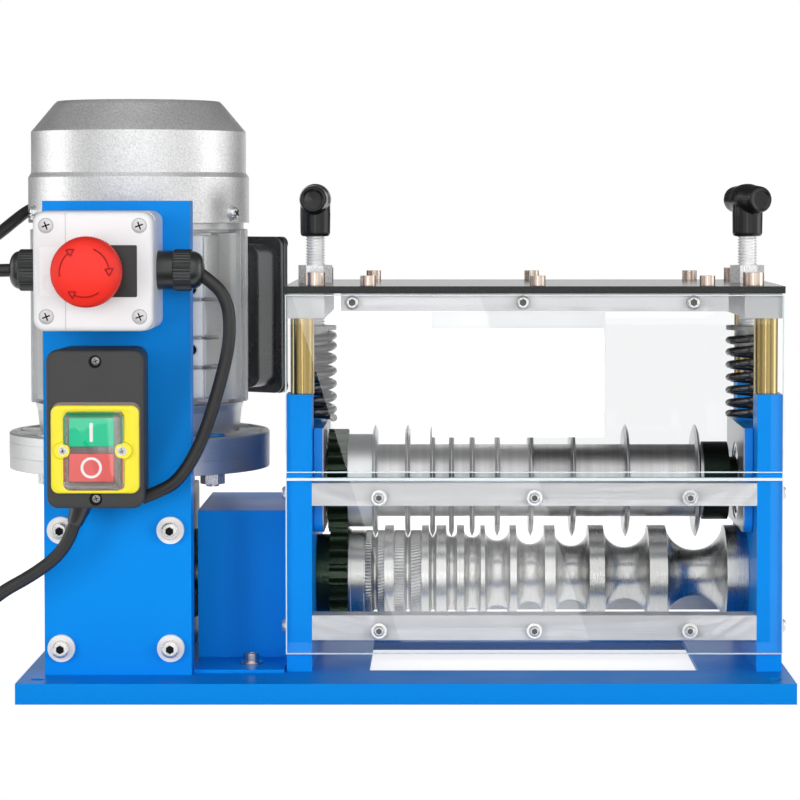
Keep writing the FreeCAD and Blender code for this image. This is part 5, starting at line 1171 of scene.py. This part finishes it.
def add_threads():
    """The pressure screws, with a true right hand thread."""
    around = 24
    for side in ("left", "right"):
        x, y, bottom, top = axis_of(side + "_screw")
        low, high = box_of(side + "_screw")
        crest = (high.x - low.x) / 2
        turns = int((top - bottom) / THREAD_PITCH) - 1
        bm = bmesh.new()
        rows = []
        for step in range(turns * around + 1):
            angle = 2 * math.pi * step / around
            base = bottom + 0.6 + THREAD_PITCH * step / around
            row = []
            for share, up in THREAD_SHAPE:
                radius = crest - THREAD_DEPTH * (1 - up)
                row.append(bm.verts.new((x + radius * math.cos(angle), y + radius * math.sin(angle),
                                         base + share * THREAD_PITCH)))
            rows.append(row)
        for lower, upper in zip(rows, rows[1:]):
            for index in range(len(THREAD_SHAPE) - 1):
                bm.faces.new([lower[index], upper[index], upper[index + 1], lower[index + 1]])
        core = crest - THREAD_DEPTH + 0.02
        lathe(bm, [(0, bottom), (core - 0.6, bottom), (core, bottom + 0.8), (core, top), (0, top)],
              (x, y, 0), around=32)
        piece(side + "_thread", bm, side + "_screw_body", "thread", [side + "_screw"],
              smooth=60)


KNOB_RADIUS = 9.4
KNOB_HALF_BAR = 16
KNOB_TURNS = {"left": -3, "right": 26}
# radius and place along the bar, from its dished end to its middle
KNOB_BAR_PROFILE = [(0, -KNOB_HALF_BAR + 1.3), (5.4, -KNOB_HALF_BAR + 1.0), (6.6, -KNOB_HALF_BAR + 0.1),
                    (7.2, -KNOB_HALF_BAR + 0.1), (7.8, -KNOB_HALF_BAR + 0.9), (8.2, -KNOB_HALF_BAR + 3),
                    (8.7, -KNOB_HALF_BAR * 0.5), (9.5, -KNOB_HALF_BAR * 0.2), (9.7, 0)]


def add_knobs():
    """T knobs: a dished barrel bar that flows into its stem."""
    profile = KNOB_BAR_PROFILE + [(radius, -height) for radius, height in reversed(KNOB_BAR_PROFILE[:-1])]
    for side, turn in KNOB_TURNS.items():
        x, y, bottom, top = axis_of(side + "_knob")
        centre = Vector((x, y, top - KNOB_RADIUS))
        foot = bottom - centre.z
        bm = bmesh.new()
        stem = [(0, foot), (7.2, foot), (8.6, foot + 0.5), (9.1, foot + 2), (9.3, -9), (9.1, 0), (7.5, 3),
                (0, 3)]
        lathe(bm, stem, centre, around=48)
        lathe(bm, profile, centre, Matrix.Rotation(math.radians(turn), 3, "Z") @ Y_AXIS, around=48)
        knob = piece(side + "_knob_grip", bm, side + "_screw_body", "knob",
                     [side + "_knob"])
        blend_shape(knob, 0.45, 4)


def blend_shape(thing, voxel, passes):
    """Weld the parts of a piece into one skin and soften the creases between them."""
    remesh = thing.modifiers.new("weld", "REMESH")
    remesh.mode = "VOXEL"
    remesh.voxel_size = voxel * METRE
    remesh.use_smooth_shade = True
    smooth = thing.modifiers.new("soften", "SMOOTH")
    smooth.factor = 0.5
    smooth.iterations = passes
    view = bpy.context.evaluated_depsgraph_get()
    made = bpy.data.meshes.new_from_object(thing.evaluated_get(view))
    if not made.materials:
        made.materials.append(thing.data.materials[0])
    thing.modifiers.clear()
    thing.data = made
    made.shade_smooth()


# Screws

# the corners of each cross recess, kept by the mesh that its screw is in
crosses = {}


def cross_head(bm, at, radius, height, axis=-Y_AXIS):
    """A domed head standing out along its axis; its cross recess is only the corners of a flat dark slot,
    for painted shade.
    """
    dome = [(radius, 0), (radius, height * 0.35), (radius * 0.86, height * 0.75),
            (radius * 0.6, height * 0.95), (0, height)]
    lathe(bm, dome, at, axis, 28)
    matrix = axis_frame(axis, at)
    arm, half = radius * 0.62, radius * 0.11
    for turn in (20, 110):
        spin = matrix @ Matrix.Rotation(math.radians(turn), 4, "Z")
        slot = [spin @ Vector((a, b, height * 1.02))
                for a, b in ((-arm, -half), (arm, -half), (arm, half), (-arm, half))]
        crosses.setdefault(id(bm), []).append(slot)


def add_crosses(bm, name):
    """Flat dark slots over every cross head in a mesh: painted shade of the recesses."""
    dark = bmesh.new()
    for corners in crosses.pop(id(bm)):
        dark.faces.new([dark.verts.new(corner) for corner in corners])
    piece(name, dark, "frame", "deep_hole")


def socket_head(bm, holes, at, radius, height, axis=-Y_AXIS, socket=None):
    """A button head: a low dome with a six sided socket sunk in it, whose floor is a dark disc in holes:
    painted shade.
    """
    steps = 24
    rim = socket or radius * 0.5
    profile = [(radius, 0), (radius, height * 0.2), (radius * 0.93, height * 0.55),
               (radius * 0.78, height * 0.86), (max(radius * 0.66, rim * 1.15), height),
               (rim * 1.1, height)]
    rings = lathe(bm, profile, at, axis, steps)
    matrix = axis_frame(axis, at)
    hex_ring, deep_ring, floor_ring = [], [], []
    for angle in around_circle(steps):
        within = (angle + math.pi / 6) % (math.pi / 3) - math.pi / 6
        reach = rim * 0.9 / math.cos(within)
        flat = (reach * math.cos(angle), reach * math.sin(angle))
        hex_ring.append(bm.verts.new(matrix @ Vector((*flat, height * 0.98))))
        deep_ring.append(bm.verts.new(matrix @ Vector((*flat, height * 0.2))))
        floor_ring.append(holes.verts.new(matrix @ Vector((*flat, height * 0.34))))
    join_rings(bm, [rings[-1], hex_ring, deep_ring])
    bm.faces.new(deep_ring)
    holes.faces.new(floor_ring)


WASHER_THICK = 0.8


def washer(bm, at, axis):
    lathe(bm, [(1.6, 0), (4.65, 0), (4.75, 0.15), (4.75, 0.65), (4.55, WASHER_THICK), (1.6, WASHER_THICK)],
          at, axis, 32)


GUARD_SCREW_PITCH = 91.5
TOP_SCREW_PITCH = 100
TOP_SCREW_SHIFT = -7
TOP_BAR_Z, MIDDLE_BAR_Z, BOTTOM_BAR_Z = 230.15, 115.3, 36.65
FRAME_CENTRE_X = 75
SHANK = [(1.5, 0), (1.5, 11), (0, 11)]
SIDE_SCREW_INSET = 8
SIDE_SCREW_Z = (MIDDLE_BAR_Z + 1.7, BOTTOM_BAR_Z + 1.5)


def add_guard_screws():
    """Screws of the guard bars: in front, behind, and through the two uprights."""
    heads, washers, holes = bmesh.new(), bmesh.new(), bmesh.new()
    front = box_of("front_upper_guard")[0].y
    rear = box_of("rear_upper_guard")[1].y
    for number in (-1, 0, 1):
        x = FRAME_CENTRE_X + TOP_SCREW_SHIFT + TOP_SCREW_PITCH * number
        socket_head(heads, holes, (x, front, TOP_BAR_Z), 4.2, 2.6, socket=2.1)
        lathe(heads, SHANK, (x, front, TOP_BAR_Z), Y_AXIS, 12)
        washer(washers, (x, rear, TOP_BAR_Z), Y_AXIS)
        socket_head(heads, holes, (x, rear + WASHER_THICK, TOP_BAR_Z), 4.1, 2.4, Y_AXIS)
        for z in (MIDDLE_BAR_Z, BOTTOM_BAR_Z):
            x = FRAME_CENTRE_X + GUARD_SCREW_PITCH * number
            washer(washers, (x, front, z), -Y_AXIS)
            socket_head(heads, holes, (x, front - WASHER_THICK, z), 3.3, 2.0, socket=1.8)
            lathe(heads, SHANK, (x, front, z), Y_AXIS, 12)
    left, right = box_of("left_upright"), box_of("right_upright")
    for z in SIDE_SCREW_Z:
        for y in (left[0].y + SIDE_SCREW_INSET, left[1].y - SIDE_SCREW_INSET):
            socket_head(heads, holes, (left[0].x, y, z), 4.3, 3, -X_AXIS)
            socket_head(heads, holes, (right[1].x, y, z), 4.3, 3, X_AXIS)
    piece("guard_screw_heads", heads, "frame", "screw", ["pan_head_screws"])
    piece("guard_screw_washers", washers, "frame", "nickel")
    # the socket floors are dark discs: painted shade
    piece("guard_screw_sockets", holes, "frame", "socket_floor")


PANEL_SCREW_X = (-202, -138)
PANEL_SCREW_Z = (28.15, 97.45)
PANEL_SCREW_FACE = -77.52
STOP_CENTRE = Vector((-176, -123, 250))
LID_SCREWS = [(dx, dz) for dx in (-26.3, 26.3) for dz in (-25.7, 25.7)]
SWITCH_SCREWS = [(-176, 120.2), (-176, 198.5)]
KEY_SCREWS = [(-193.6, 148.3), (-160.4, 148.3)]
MOTOR_AXIS = Vector((middle_of("fan_cover").x, middle_of("fan_cover").y, 0))
COWL_RADIUS = 68.2
COWL_SCREW_Z = 282
COWL_SCREW_ANGLES = (-28, 92, 208)
COWL_BOSS = [(2.4, 0), (4.9, 0), (5.0, 0.3), (4.9, 0.9), (2.4, 0.9)]


def add_tower_screws():
    """Screws of the panel, the stop box, the switch and the fan cover."""
    faces, wells = bmesh.new(), bmesh.new()
    for x in PANEL_SCREW_X:
        for z in PANEL_SCREW_Z:
            socket_head(faces, wells, (x, PANEL_SCREW_FACE, z), 4.9, 0.9, socket=2.5)
    piece("panel_screw_faces", faces, "frame", "screw")
    # black socket floors: painted shade
    piece("panel_screw_sockets", wells, "frame", "deep_hole")
    lid_screws = bmesh.new()
    for dx, dz in LID_SCREWS:
        cross_head(lid_screws, STOP_CENTRE + Vector((dx, 0.1, dz)), 3.75, 0.5)
    add_crosses(lid_screws, "lid_screw_recesses")
    piece("stop_lid_screws", lid_screws, "frame", "flush_screw")
    dark = bmesh.new()
    for x, z in SWITCH_SCREWS:
        cross_head(dark, (x + 0.3, -114.9, z + 0.4), 2.3, 0.5)
    add_crosses(dark, "switch_screw_recesses")
    piece("switch_case_screws", dark, "frame", "seat")
    bright = bmesh.new()
    for x, z in KEY_SCREWS:
        cross_head(bright, (x, -120.6, z), 2.2, 1.2)
    for degrees in COWL_SCREW_ANGLES:
        way = Vector((math.cos(math.radians(degrees)), math.sin(math.radians(degrees)), 0))
        at = MOTOR_AXIS + way * COWL_RADIUS + Z_AXIS * COWL_SCREW_Z
        lathe(bright, COWL_BOSS, at, way, 32)
        cross_head(bright, at + way * 0.8, 4.1, 3.2, way)
    add_crosses(bright, "cross_recesses")
    piece("cross_head_screws", bright, "frame", "nickel")


# Stop box

LABEL_X = (-205.9, -191.9)
LABEL_Z = (236, 263.5)
LEGEND_X = (-172, -151)
LEGEND_Z = (235.4, 264.7)
MUSHROOM_AT = Vector((-177.5, -150, 250))
MUSHROOM_PROFILE = [(0, 0), (5, -0.15), (10, -0.75), (14, -1.85), (16.8, -3.2), (18.6, -4.9), (19.5, -6.6),
                    (19.75, -8), (20, -8.6), (20, -14.2), (19.6, -15.4), (18.6, -16), (0, -16)]
MILLED_ROWS = (8, 9, 10)
MILLED_TEETH = 72
ARROW_STARTS = (190, 68, -54)
ARROW_SWEEP = 62
ARROW_RADIUS = 13.8


def flat_plate(name, low, high, corner, edge, finish):
    """One thin round cornered plate, as a piece that stays on the frame."""
    bm = bmesh.new()
    rounded_block(bm, low, high, corner, edge)
    return piece(name, bm, "frame", finish)


def add_stop_box():
    low, high = box_of("e_stop_lid")
    face = low.y
    bm = bmesh.new()
    rounded_block(bm, low, high, 7, 3.2)
    piece("stop_lid", bm, "frame", "box_white", ["e_stop_lid"], smooth=50)
    # grey rings round the lid screws and a thin grey line down the lid: painted shade
    bm = bmesh.new()
    for dx, dz in LID_SCREWS:
        at = STOP_CENTRE + Vector((dx, 0.02, dz))
        lathe(bm, [(4.3, 0.05), (4.5, -0.02), (4.5, 0.04)], at, -Y_AXIS, 32)
        lathe(bm, [(0, 0.04), (4.3, 0.04)], at, -Y_AXIS, 32)
    rounded_block(bm, (-191.5, face - 0.03, low.z + 1.2), (-191.15, face + 0.3, high.z - 1.2), 0.15, 0.02)
    piece("stop_lid_recess_shade", bm, "frame", "shade_grey")
    flat_plate("stop_side_label", (LABEL_X[0], face - 0.15, LABEL_Z[0]),
               (LABEL_X[1], face + 0.1, LABEL_Z[1]), 0.6, 0.05, "label_white")
    flat_plate("stop_legend_plate", (LEGEND_X[0], face - 0.4, LEGEND_Z[0]),
               (LEGEND_X[1], face + 0.1, LEGEND_Z[1]), 0.8, 0.1, "legend_black")
    bm = bmesh.new()
    lathe(bm, [(15, 0), (15, 1.6), (14, 2.4), (10, 2.4)], (MUSHROOM_AT.x, face, MUSHROOM_AT.z), -Y_AXIS, 48)
    piece("stop_collar", bm, "frame", "box_black")


def add_mushroom():
    """A domed head whose rim is milled with fine teeth, and its three release arrows."""
    def milling(angle, row):
        if row not in MILLED_ROWS:
            return 1.0
        return 1.0 - 0.022 * (1 + math.cos(MILLED_TEETH * angle)) / 2

    bm = bmesh.new()
    lathe(bm, MUSHROOM_PROFILE, MUSHROOM_AT, -Y_AXIS, MILLED_TEETH * 4, milling)
    piece("stop_mushroom", bm, "stop_head_body", "red", ["e_stop_button"], smooth=28)
    bm = bmesh.new()
    for start in ARROW_STARTS:
        for line in arrow_lines(start):
            tube(bm, line, 0.48, 6)
    piece("stop_turn_arrows", bm, "stop_head_body", "arrow_red")


def dome_point(radius, degrees):
    """A point on the mushroom's dome, as seen from the front."""
    for (r0, h0), (r1, h1) in zip(MUSHROOM_PROFILE, MUSHROOM_PROFILE[1:]):
        if r0 <= radius <= r1:
            height = h0 + (h1 - h0) * (radius - r0) / (r1 - r0)
            break
    angle = math.radians(degrees)
    return MUSHROOM_AT + Vector((radius * math.cos(angle), -height - 0.05, radius * math.sin(angle)))


def arrow_lines(start):
    """A curved shaft and an open head that points clockwise."""
    shaft = [dome_point(ARROW_RADIUS, start - ARROW_SWEEP * i / 20) for i in range(21)]
    tip = start - ARROW_SWEEP - 14
    back = start - ARROW_SWEEP + 2
    corners = [(ARROW_RADIUS, tip), (ARROW_RADIUS + 2.2, back), (ARROW_RADIUS - 2.2, back),
               (ARROW_RADIUS, tip)]
    head = []
    for (r0, a0), (r1, a1) in zip(corners, corners[1:]):
        head += [dome_point(r0 + (r1 - r0) * i / 5, a0 + (a1 - a0) * i / 5) for i in range(5)]
    return [shaft, head + head[:1]]


# Glands, boots and the terminal box

# the motor's terminal box is built square to the motor's axis and then turned with it
TERMINAL_TURN = Matrix.Translation(MOTOR_AXIS) @ Matrix.Rotation(math.radians(-32), 4, "Z")
TERMINAL_OUT = TERMINAL_TURN.to_3x3() @ Y_AXIS
TERMINAL_ALONG = TERMINAL_TURN.to_3x3() @ X_AXIS
BOX_FRONT, LID_BACK, LID_FRONT = 88, 91, 97
GLAND_FLUTES = 38


def add_glands():
    bm = bmesh.new()
    box_low, box_high = box_of("e_stop_box")
    fluted_gland(bm, Vector((box_low.x, -95, 250)), -X_AXIS, 0, 11.3, 5.4)
    fluted_gland(bm, Vector((box_high.x, -95, 250)), X_AXIS, 9.1, 10.3, 6.9)
    boot = [(0, 0), (6.6, 0), (6.6, 1.2), (6.2, 3), (5.5, 7), (4.9, 11), (4.55, 13.4), (4.2, 14), (3.6, 14)]
    boot_way = Matrix.Rotation(math.radians(200), 3, "Y") @ Z_AXIS
    lathe(bm, boot, Vector((-186.4, -92, 116.5)), boot_way, 32)

    def twelve_ribs(angle, row):
        return 1.0 - (0.03 * (1 + math.cos(12 * angle)) if row in (4, 5, 6) else 0)

    gland = [(4.6, -1), (6, 0), (6.6, 3), (7.2, 5), (9, 6), (9.3, 9), (9.5, 14), (0, 14)]
    lathe(bm, gland, TERMINAL_TURN @ Vector((-56, 78.25, 216)), TERMINAL_ALONG, 32, twelve_ribs)
    piece("cable_gland_set", bm, "frame", "gland_black", ["cable_glands"], smooth=32)


def fluted_gland(bm, at, way, plain, barrel, nose):
    """A plain neck, a nut with fine flutes and a domed end that grips the cord."""
    start, end = plain, plain + barrel

    def flute(angle, row):
        return 1.0 - (0.035 * (1 + math.cos(GLAND_FLUTES * angle)) / 2 if 1 <= row <= 4 else 0.0)

    if plain:
        lathe(bm, [(0, 0), (11.2, 0), (11.2, plain)], at, way, 64)
    lathe(bm, [(10.2, start), (11.5, start), (12, start + 0.6), (12, end - 0.8), (11.4, end), (10.9, end)],
          at, way, GLAND_FLUTES * 6, flute)
    dome = []
    for step in range(9):
        angle = math.radians(90 * step / 8)
        dome.append((4.2 + 6.7 * math.cos(angle), end + nose * math.sin(angle)))
    lathe(bm, dome + [(3.6, end + nose - 0.3)], at, way, 64)


def add_terminal_box():
    """The black box on the motor's side: a deep round cornered body and a lid with corner lugs."""
    bm = bmesh.new()
    rounded_block(bm, (-42, 68.5, 170), (42, BOX_FRONT, 262), 8, 1, matrix=TERMINAL_TURN)
    rounded_block(bm, (-46, BOX_FRONT, 165.5), (46, LID_BACK, 266.5), 6, 0.8, both=True,
                  matrix=TERMINAL_TURN)
    piece("terminal_body", bm, "frame", "lid_black", ["terminal_box"], smooth=50)
    bm = bmesh.new()
    # a block's soft rim is at its low end, so the lid is made back to front and turned round
    turned = Matrix.Translation((0, LID_BACK + LID_FRONT, 0)) @ Matrix.Rotation(math.pi, 4, "Z")
    rounded_block(bm, (-46, LID_BACK, 165.5), (46, LID_FRONT, 266.5), 6, 3, matrix=TERMINAL_TURN @ turned)
    screws = bmesh.new()
    lug = [(4.6, LID_BACK + 0.2), (4.6, LID_FRONT - 1.5), (4.0, LID_FRONT - 0.6), (0, LID_FRONT - 0.6)]
    for x in (-41.5, 41.5):
        for z in (170, 262):
            lathe(bm, lug, TERMINAL_TURN @ Vector((x, 0, z)), TERMINAL_OUT, 24)
            cross_head(screws, TERMINAL_TURN @ Vector((x, LID_FRONT - 0.7, z)), 2.4, 0.7, TERMINAL_OUT)
    piece("terminal_lid", bm, "frame", "lid_black", ["terminal_box_lid"], smooth=50)
    add_crosses(screws, "terminal_screw_slots")
    piece("terminal_screws", screws, "frame", "nickel")


# Switch

SWITCH_LEFT, SWITCH_RIGHT = -204, -148.4
SWITCH_MIDDLE = -176
SWITCH_TAPER = 2.4
SWITCH_FACE = -115
KEY_MIDDLE = -177.6
KEY_FACE = -119.4
KEY_HALF_WIDTH, KEY_HALF_HEIGHT = 12.5, 8
START_KEY_Z, STOP_KEY_Z = 158.7, 138.8


def add_switch():
    bm = bmesh.new()
    layers = rounded_block(bm, (SWITCH_LEFT, SWITCH_FACE, 114.9), (SWITCH_RIGHT, -70, 205.2), 6.5, 2.0)
    # the walls draw in a little towards the back
    for corner in layers[-1]:
        corner.co.x += SWITCH_TAPER if corner.co.x < SWITCH_MIDDLE else -SWITCH_TAPER
    piece("switch_case", bm, "frame", "box_black", ["switch_box"], smooth=50)
    bm = bmesh.new()
    # flat dark discs round the screws: painted shade of their wells
    for x, z in SWITCH_SCREWS:
        lathe(bm, [(0, 0.04), (3.7, 0.04)], (x, SWITCH_FACE, z), -Y_AXIS, 32)
    piece("switch_screw_wells", bm, "frame", "deep_hole")
    add_switch_frame()
    bar, ring = bmesh.new(), bmesh.new()
    rounded_block(bar, (KEY_MIDDLE - 0.9, KEY_FACE - 0.1, START_KEY_Z - 5.3),
                  (KEY_MIDDLE + 0.9, KEY_FACE + 0.1, START_KEY_Z + 5.3), 0.3, 0.05)
    lathe(ring, [(4.5, 0), (4.5, 0.1), (6.0, 0.1), (6.0, 0)], (KEY_MIDDLE, KEY_FACE, STOP_KEY_Z),
          -Y_AXIS, 48)
    add_key("start", START_KEY_Z, "green_key", bar)
    add_key("stop", STOP_KEY_Z, "red_key", ring)


def add_key(name, z, finish, mark):
    """A push button and the white mark on its face, which move together."""
    bm = bmesh.new()
    rounded_block(bm, (KEY_MIDDLE - KEY_HALF_WIDTH, KEY_FACE, z - KEY_HALF_HEIGHT),
                  (KEY_MIDDLE + KEY_HALF_WIDTH, -107, z + KEY_HALF_HEIGHT), 1.0, 0.5)
    piece(name + "_push_key", bm, name + "_key", finish, [name + "_button"], smooth=50)
    piece(name + "_key_mark", mark, name + "_key", "mark_white")


def add_switch_frame():
    """The yellow bezel: a plate with a round cornered window and a round lobe under each side screw."""
    outer = rounded_outline(-201, 123.8, -151, 173.8, 4.5)
    window = rounded_outline(-193.3, 125.8, -159.4, 170.3, 3)
    bm = bmesh.new()
    plate_with_window(bm, outer, window, SWITCH_FACE - 3, SWITCH_FACE, 0.6)
    rings = bmesh.new()
    for (x, z), shift in zip(KEY_SCREWS, (-0.9, 0.9)):
        lathe(bm, [(4.9, 0), (4.9, 5.0), (4.5, 5.4), (0, 5.4)], (x + shift, SWITCH_FACE, z), -Y_AXIS, 48)
        lathe(rings, [(0, 5.5), (2.5, 5.5), (2.7, 5.6), (2.8, 5.5), (2.8, 5.2)], (x, SWITCH_FACE, z),
              -Y_AXIS, 32)
    piece("switch_bezel", bm, "frame", "yellow", ["switch_frame"], smooth=45)
    piece("switch_screw_rings", rings, "frame", "label_white")
    flat_plate("switch_well", (-193.5, SWITCH_FACE - 0.6, 125.6), (-159.2, SWITCH_FACE - 0.05, 170.5),
               3, 0.1, "legend_black")
    flat_plate("switch_gasket", (-200.6, SWITCH_FACE - 0.7, 123.6), (-150.4, SWITCH_FACE, 175.6),
               5, 0.2, "gasket")
    bm = bmesh.new()
    rounded_block(bm, (-193.4, -124.5, 125.9), (-159.5, -118, 170.2), 4, 2.4)
    inner = rounded_block(bm, (-192.5, -123.6, 126.8), (-160.4, -117.9, 169.3), 3, 2)
    rounded_block(bm, (-195.0, -118.8, 125.4), (-159.7, -118.05, 171.9), 4.5, 0.3)
    # the cover is open at the back
    for face in [f for f in bm.faces if all(v in inner[-1] for v in f.verts)]:
        bm.faces.remove(face)
    piece("switch_clear_cover", bm, "frame", "film", ["switch_cover"], smooth=50)


def plate_with_window(bm, outer, window, front, rear, soft):
    """A flat ring between two outlines with the same number of points."""
    centre = (sum(x for x, _ in outer) / len(outer), sum(z for _, z in outer) / len(outer))

    def shrink(outline, amount):
        return [(x + (amount if x < centre[0] else -amount), z + (amount if z < centre[1] else -amount))
                for x, z in outline]

    rings = []
    for outline, y in ((outer, rear), (outer, front + soft), (shrink(outer, soft), front),
                       (shrink(window, -soft), front), (window, front + soft), (window, rear)):
        rings.append([bm.verts.new((x, y, z)) for x, z in outline])
    join_rings(bm, rings + rings[:1])


# Knurled bands, guard rims and motor trim

# where each band starts and ends, and how much its teeth slant
KNURL_BANDS = [(-26.4, -21.9, 0.1), (-18.9, -14.5, 0.5), (-8.9, -1.9, -0.05), (1.0, 8.2, 0.4)]
KNURL_RADIUS = 25.72
KNURL_TEETH = 84
KNURL_DEPTH = 0.5
# share of the band's width, and how far the skin drops there
KNURL_ENDS = ([(0.0, -2.2), (0.03, -0.3)], [(0.97, -0.3), (1.0, -2.2)])
KNURL_ROWS = KNURL_ENDS[0] + [(0.1 + 0.8 * i / 5, 0.0) for i in range(6)] + KNURL_ENDS[1]


def add_knurls():
    """Fine slanted teeth rolled into the bands beside the two narrow grooves."""
    bm = bmesh.new()
    for start, end, slant in KNURL_BANDS:
        rows = []
        for share, drop in KNURL_ROWS:
            along = (end - start) * share
            row = []
            for angle in around_circle(KNURL_TEETH * 4):
                tooth = max(0.0, math.cos(KNURL_TEETH * angle + along * slant * 2)) ** 0.7
                radius = KNURL_RADIUS + drop + (KNURL_DEPTH * tooth if drop == 0.0 else 0.2)
                row.append(bm.verts.new((start + along, lower_axis.y + radius * math.cos(angle),
                                         lower_axis.z + radius * math.sin(angle))))
            rows.append(row)
        join_rings(bm, rows)
    piece("roller_knurls", bm, "feed", "knurl", smooth=25)


# how wide the rim shows at the bottom and the top of each guard
GUARD_RIMS = {"front_upper_guard": (0.6, 0.6), "front_lower_guard": (0.6, 1.7),
              "rear_upper_guard": (0.6, 0.6)}
RIM_SIDE = 0.6
RIM_PROUD = 0.05


def add_guard_edges():
    """The sawn rims of the clear guards, as thin opaque pale lines: a painted highlight for the light that
    the edges carry.
    """
    for node, (under, over) in GUARD_RIMS.items():
        low, high = box_of(node)
        left, right, bottom, top = low.x + RIM_SIDE, high.x - RIM_SIDE, low.z + under, high.z - over
        outer = [(low.x, low.z), (high.x, low.z), (high.x, high.z), (low.x, high.z)]
        inner = [(left, bottom), (right, bottom), (right, top), (left, top)]
        bm = bmesh.new()
        plate_with_window(bm, outer, inner, low.y - RIM_PROUD, high.y + RIM_PROUD, RIM_PROUD)
        piece(node + "_rim", bm, "frame", "rim_highlight")


WEBS = 16
PAD_FACE = -69
PAD_HOLES = [(dx, z) for dx in (-38.5, 38.5) for z in (200, 236.5)]


def add_motor_trim():
    """Webs in the flange's channel, and bosses round the holes of the foot pads."""
    bm = bmesh.new()
    for number in range(WEBS):
        turn = Matrix.Rotation(math.radians(360 / WEBS * number + 11), 4, "Z")
        rounded_block(bm, (56, -1.6, 140), (79, 1.6, 146.5), 0.8, 0.6, depth_axis="Z", both=True,
                      matrix=Matrix.Translation(MOTOR_AXIS) @ turn)
    lathe(bm, [(81, 140.5), (81, 145.4), (80.2, 146.2), (77.6, 146.2), (76.8, 145.4), (76.8, 140.5)],
          MOTOR_AXIS, around=96)
    piece("flange_webs", bm, "frame", "cast_body")
    add_foot_rails()
    bosses, holes = bmesh.new(), bmesh.new()
    for dx, z in PAD_HOLES:
        at = MOTOR_AXIS + Vector((dx, PAD_FACE, z))
        lathe(bosses, [(3.2, -6), (3.2, 0.5), (3.5, 0.8), (4.5, 0.8), (5.0, 0.4), (5.1, 0)], at,
              -Y_AXIS, 32)
        lathe(holes, [(0, 0.25), (3.3, 0.25)], at, -Y_AXIS, 32)
    # the bosses take the rail faces' lighter silver: painted light
    piece("foot_pad_bosses", bosses, "frame", "lit_rail")
    # flat dark discs: painted shade in the holes
    piece("foot_pad_holes", holes, "frame", "deep_hole")


FOOT_BLOCKS = [(170.5, 188.5), (190, 206.5), (208, 229.5), (231, 269)]
RAIL_INNER, RAIL_OUTER = 22.5, 45.5
# the flank's outline from above, at its ends and between them
FLANK_END = [(45.9, -68.0), (46.5, -68.1), (47.0, -67.6), (53.4, -49), (45.9, -49)]
FLANK = [(45.9, -68.6), (46.6, -68.9), (47.4, -68.2), (54.2, -49), (45.9, -49)]


def add_foot_rails():
    """The foot rails: front faces in a lighter, less metallic silver, painted light, and rounded flanks
    that run back to the barrel.
    """
    faces, flanks = bmesh.new(), bmesh.new()
    x, y, _ = MOTOR_AXIS
    for side in (-1, 1):
        near, far = sorted((side * RAIL_INNER, side * RAIL_OUTER))
        for low, high in FOOT_BLOCKS:
            rounded_block(faces, (x + near, y + PAD_FACE - 0.12, low + 0.4), (x + far, y - 66, high - 0.4),
                          1.0, 0.5)
            layers = []
            for outline, z in ((FLANK_END, low + 0.1), (FLANK, low + 0.8), (FLANK, high - 0.8),
                               (FLANK_END, high - 0.1)):
                layers.append([flanks.verts.new((x + side * dx, y + dy, z)) for dx, dy in outline])
            join_rings(flanks, layers)
            flanks.faces.new(layers[0])
            flanks.faces.new(layers[-1])
    piece("foot_rail_faces", faces, "frame", "lit_rail")
    piece("foot_rail_flanks", flanks, "frame", "cast_body")


def main():
    scene = bpy.context.scene
    scene.view_settings.view_transform = "Standard"
    set_camera()
    add_cords()
    finish_nodes()
    set_world()
    set_lamps()
    add_floor()
    add_studio_cards()
    add_springs()
    add_threads()
    add_knobs()
    add_stop_box()
    add_mushroom()
    add_glands()
    add_terminal_box()
    add_switch()
    add_guard_screws()
    add_tower_screws()
    add_knurls()
    add_guard_edges()
    add_motor_trim()


main()
